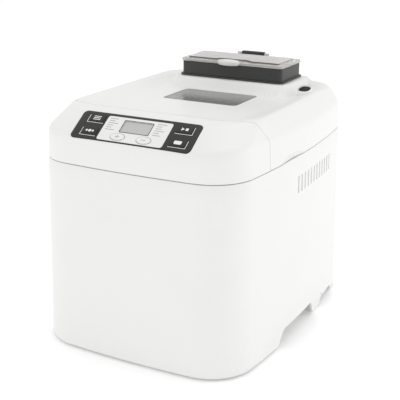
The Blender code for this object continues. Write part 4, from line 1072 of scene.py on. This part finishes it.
def fine_pan():
    """The bread pan: tapered, with a rolled rim, two bosses for the handle and a hole for the shaft."""
    foot, mouth, wall = (60 * mm, 78 * mm), (68 * mm, 86 * mm), 1.4 * mm
    low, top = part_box("bread_pan")

    def ring(half, radius, inset, z):
        return at(rounded((half[0] - inset, half[1] - inset), radius - inset, AXIS, 10), z)

    rings = [
        ring(foot, 18 * mm, 3 * mm, low.z),
        ring(foot, 18 * mm, 0.8 * mm, low.z + 0.8 * mm),
        ring(foot, 18 * mm, 0, low.z + 3 * mm),
        ring(mouth, 22 * mm, 0, top.z - 3 * mm),
        ring(mouth, 22 * mm, -2.4 * mm, top.z - 2.8 * mm),
        ring(mouth, 22 * mm, -3 * mm, top.z - 2 * mm),
        ring(mouth, 22 * mm, -3 * mm, top.z - 1 * mm),
        ring(mouth, 22 * mm, -2 * mm, top.z),
        ring(mouth, 22 * mm, 0.6 * mm, top.z),
        ring(mouth, 22 * mm, wall, top.z - 0.8 * mm),
        ring(foot, 18 * mm, wall, low.z + 5 * mm),
        ring(foot, 18 * mm, wall + 1 * mm, low.z + 2.4 * mm),
        ring(foot, 18 * mm, wall + 3.4 * mm, low.z + wall),
    ]
    pan = loft("pan_body", rings)
    handle_z, boss_radius, bore_radius = 158 * mm, 4.4 * mm, 2.35 * mm
    adds, holes = [], [[at(oval((4.4 * mm, 4.4 * mm), AXIS, 24), z * mm) for z in (55, 70)]]
    for side in (-1, 1):
        boss = oval((boss_radius, boss_radius), (0, handle_z), 24)
        ends = (AXIS[1] + side * 84.8 * mm, AXIS[1] + side * 89.4 * mm)
        adds.append(loft(f"boss_{side}", along_y(boss, ends)))
        bore = oval((bore_radius, bore_radius), (0, handle_z), 20)
        holes.append(along_y(bore, (AXIS[1] + side * 86.4 * mm, AXIS[1] + side * 92 * mm)))
    carve(pan, adds=tuple(adds), cuts=(lofts("cut_pan", holes),), sharp=32)
    dress(pan, "nonstick_coating", "pan", "bread_pan")


def fine_chamber():
    """The oven's sheet tub, with holes for the shaft, the heating element and the sensor."""
    low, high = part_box("oven_chamber")
    half, corner, sheet = (95 * mm, 101 * mm), 22 * mm, 1.2 * mm

    def ring(inset, z):
        return at(rounded((half[0] - inset, half[1] - inset), corner - inset, AXIS, 10), z)

    rings = [
        ring(3 * mm, low.z),
        ring(0.8 * mm, low.z + 0.8 * mm),
        ring(0, low.z + 3 * mm),
        ring(0, high.z - sheet),
        ring(-4 * mm, high.z - sheet),
        ring(-4 * mm, high.z),
        ring(sheet, high.z),
        ring(sheet, low.z + 4 * mm),
        ring(sheet + 0.9 * mm, low.z + 2 * mm),
        ring(sheet + 3 * mm, low.z + sheet),
    ]
    tub = loft("chamber_tub", rings)
    front = AXIS[1] - half[1]
    holes = [[at(oval((4.4 * mm, 4.4 * mm), AXIS, 20), z * mm) for z in (45, 58)]]
    for x, z, radius in ((-14, 85, 3.45), (14, 85, 3.45), (45, 120, 2.85)):
        shape = oval((radius * mm, radius * mm), (x * mm, z * mm), 20)
        holes.append(along_y(shape, (front - 5 * mm, front + 5 * mm)))
    carve(tub, cuts=(lofts("cut_tub", holes),), sharp=32)
    dress(tub, "sheet_steel", "housing", "oven_chamber")


def screws():
    """A screw head low on each side of the skirt."""
    y, z = 69 * mm, 13 * mm
    wall = side_wall_x(y, z)
    rim, face = oval((1.9 * mm, 1.9 * mm), (y, z), 24), oval((1.4 * mm, 1.4 * mm), (y, z), 24)
    for name, side in (("screw_left", -1), ("screw_right", 1)):
        rings = along_x(rim, (side * (wall - 0.5 * mm), side * (wall + 0.15 * mm)))
        rings += along_x(face, (side * (wall + 0.45 * mm),))
        dress(loft(name, rings), "bright_steel", "housing")


def side_wall_x(y, z):
    """How far out the side wall is at a height, on the side's bow."""
    reach = SIDE_BOW + FLARE * (SEAM_Z - z)
    return HALF_WIDTH - SIDE_BOW + math.sqrt(reach**2 - y**2)


def cad_finishes():
    """Every CAD node that still shows takes its slot's material."""
    slots = {row["node"]: row["material_slot"] for row in frame["record"]["subparts"]}
    for name, node in frame["nodes"].items():
        node.data.materials.clear()
        node.data.materials.append(MATERIALS[slots[name]])


# ---------------------------------------------------------------- studio


def studio():
    """White floor, even surround, three soft lights and the camera."""
    bm = bmesh.new()
    bmesh.ops.create_grid(bm, x_segments=2, y_segments=2, size=30)
    floor = finish_mesh("floor", bm)
    paper = grained("floor_white", (0.90, 0.90, 0.90), 0.75, grain=200, depth=0.01 * mm, vary=0.004)
    fill(paper.node_tree.nodes["Principled BSDF"], Emission_Color=(1, 1, 1, 1), Emission_Strength=0.21)
    floor.data.materials.append(paper)

    world = bpy.data.worlds.new("studio")
    bpy.context.scene.world = world
    world.use_nodes = True
    fill(world.node_tree.nodes["Background"], Color=(1, 1, 1, 1), Strength=0.87)

    def softbox(name, place, target, size, power):
        light = bpy.data.lights.new(name, "AREA")
        light.shape = "RECTANGLE"
        light.size, light.size_y = size
        light.energy = power
        obj = bpy.data.objects.new(name, light)
        bpy.context.scene.collection.objects.link(obj)
        obj.location = place
        obj.rotation_euler = (Vector(target) - Vector(place)).to_track_quat("-Z", "Y").to_euler()

    softbox("softbox_right", (1.8, 1.0, 0.7), (0, 0, 0.15), (1.4, 1.4), 4.8)
    softbox("softbox_top", (0.2, 0.6, 2.4), (0, 0, 0.1), (2.0, 2.0), 8)
    softbox("softbox_left", (-1.8, -1.8, 1.2), (0, 0, 0.15), (1.4, 1.4), 4.5)

    camera_data = bpy.data.cameras.new("camera")
    camera_data.sensor_width = 36
    camera_data.lens = 79.45
    camera_data.clip_end = 50
    camera = bpy.data.objects.new("camera", camera_data)
    bpy.context.scene.collection.objects.link(camera)
    place = (0.45064, -0.86098, 0.45622)
    yaw, pitch, roll = math.radians(27.798), math.radians(18.458), math.radians(0.316)
    ahead = Vector((-math.sin(yaw) * math.cos(pitch), math.cos(yaw) * math.cos(pitch), -math.sin(pitch)))
    level = Vector((math.cos(yaw), math.sin(yaw), 0))
    upright = level.cross(ahead)
    right = level * math.cos(roll) + upright * math.sin(roll)
    up = upright * math.cos(roll) - level * math.sin(roll)
    turn = Matrix((right, up, -ahead)).transposed().to_4x4()
    camera.matrix_world = Matrix.Translation(place) @ turn
    bpy.context.scene.camera = camera
    bpy.context.scene.view_settings.view_transform = "Standard"


studio()
housing_shell()
deck_shell()
lid_cover()
panel()
keys()
panel_print()
dispenser_body()
dispenser_window()
vent_hood()
fine_pan()
fine_chamber()
screws()
louvre_screens()
cad_finishes()
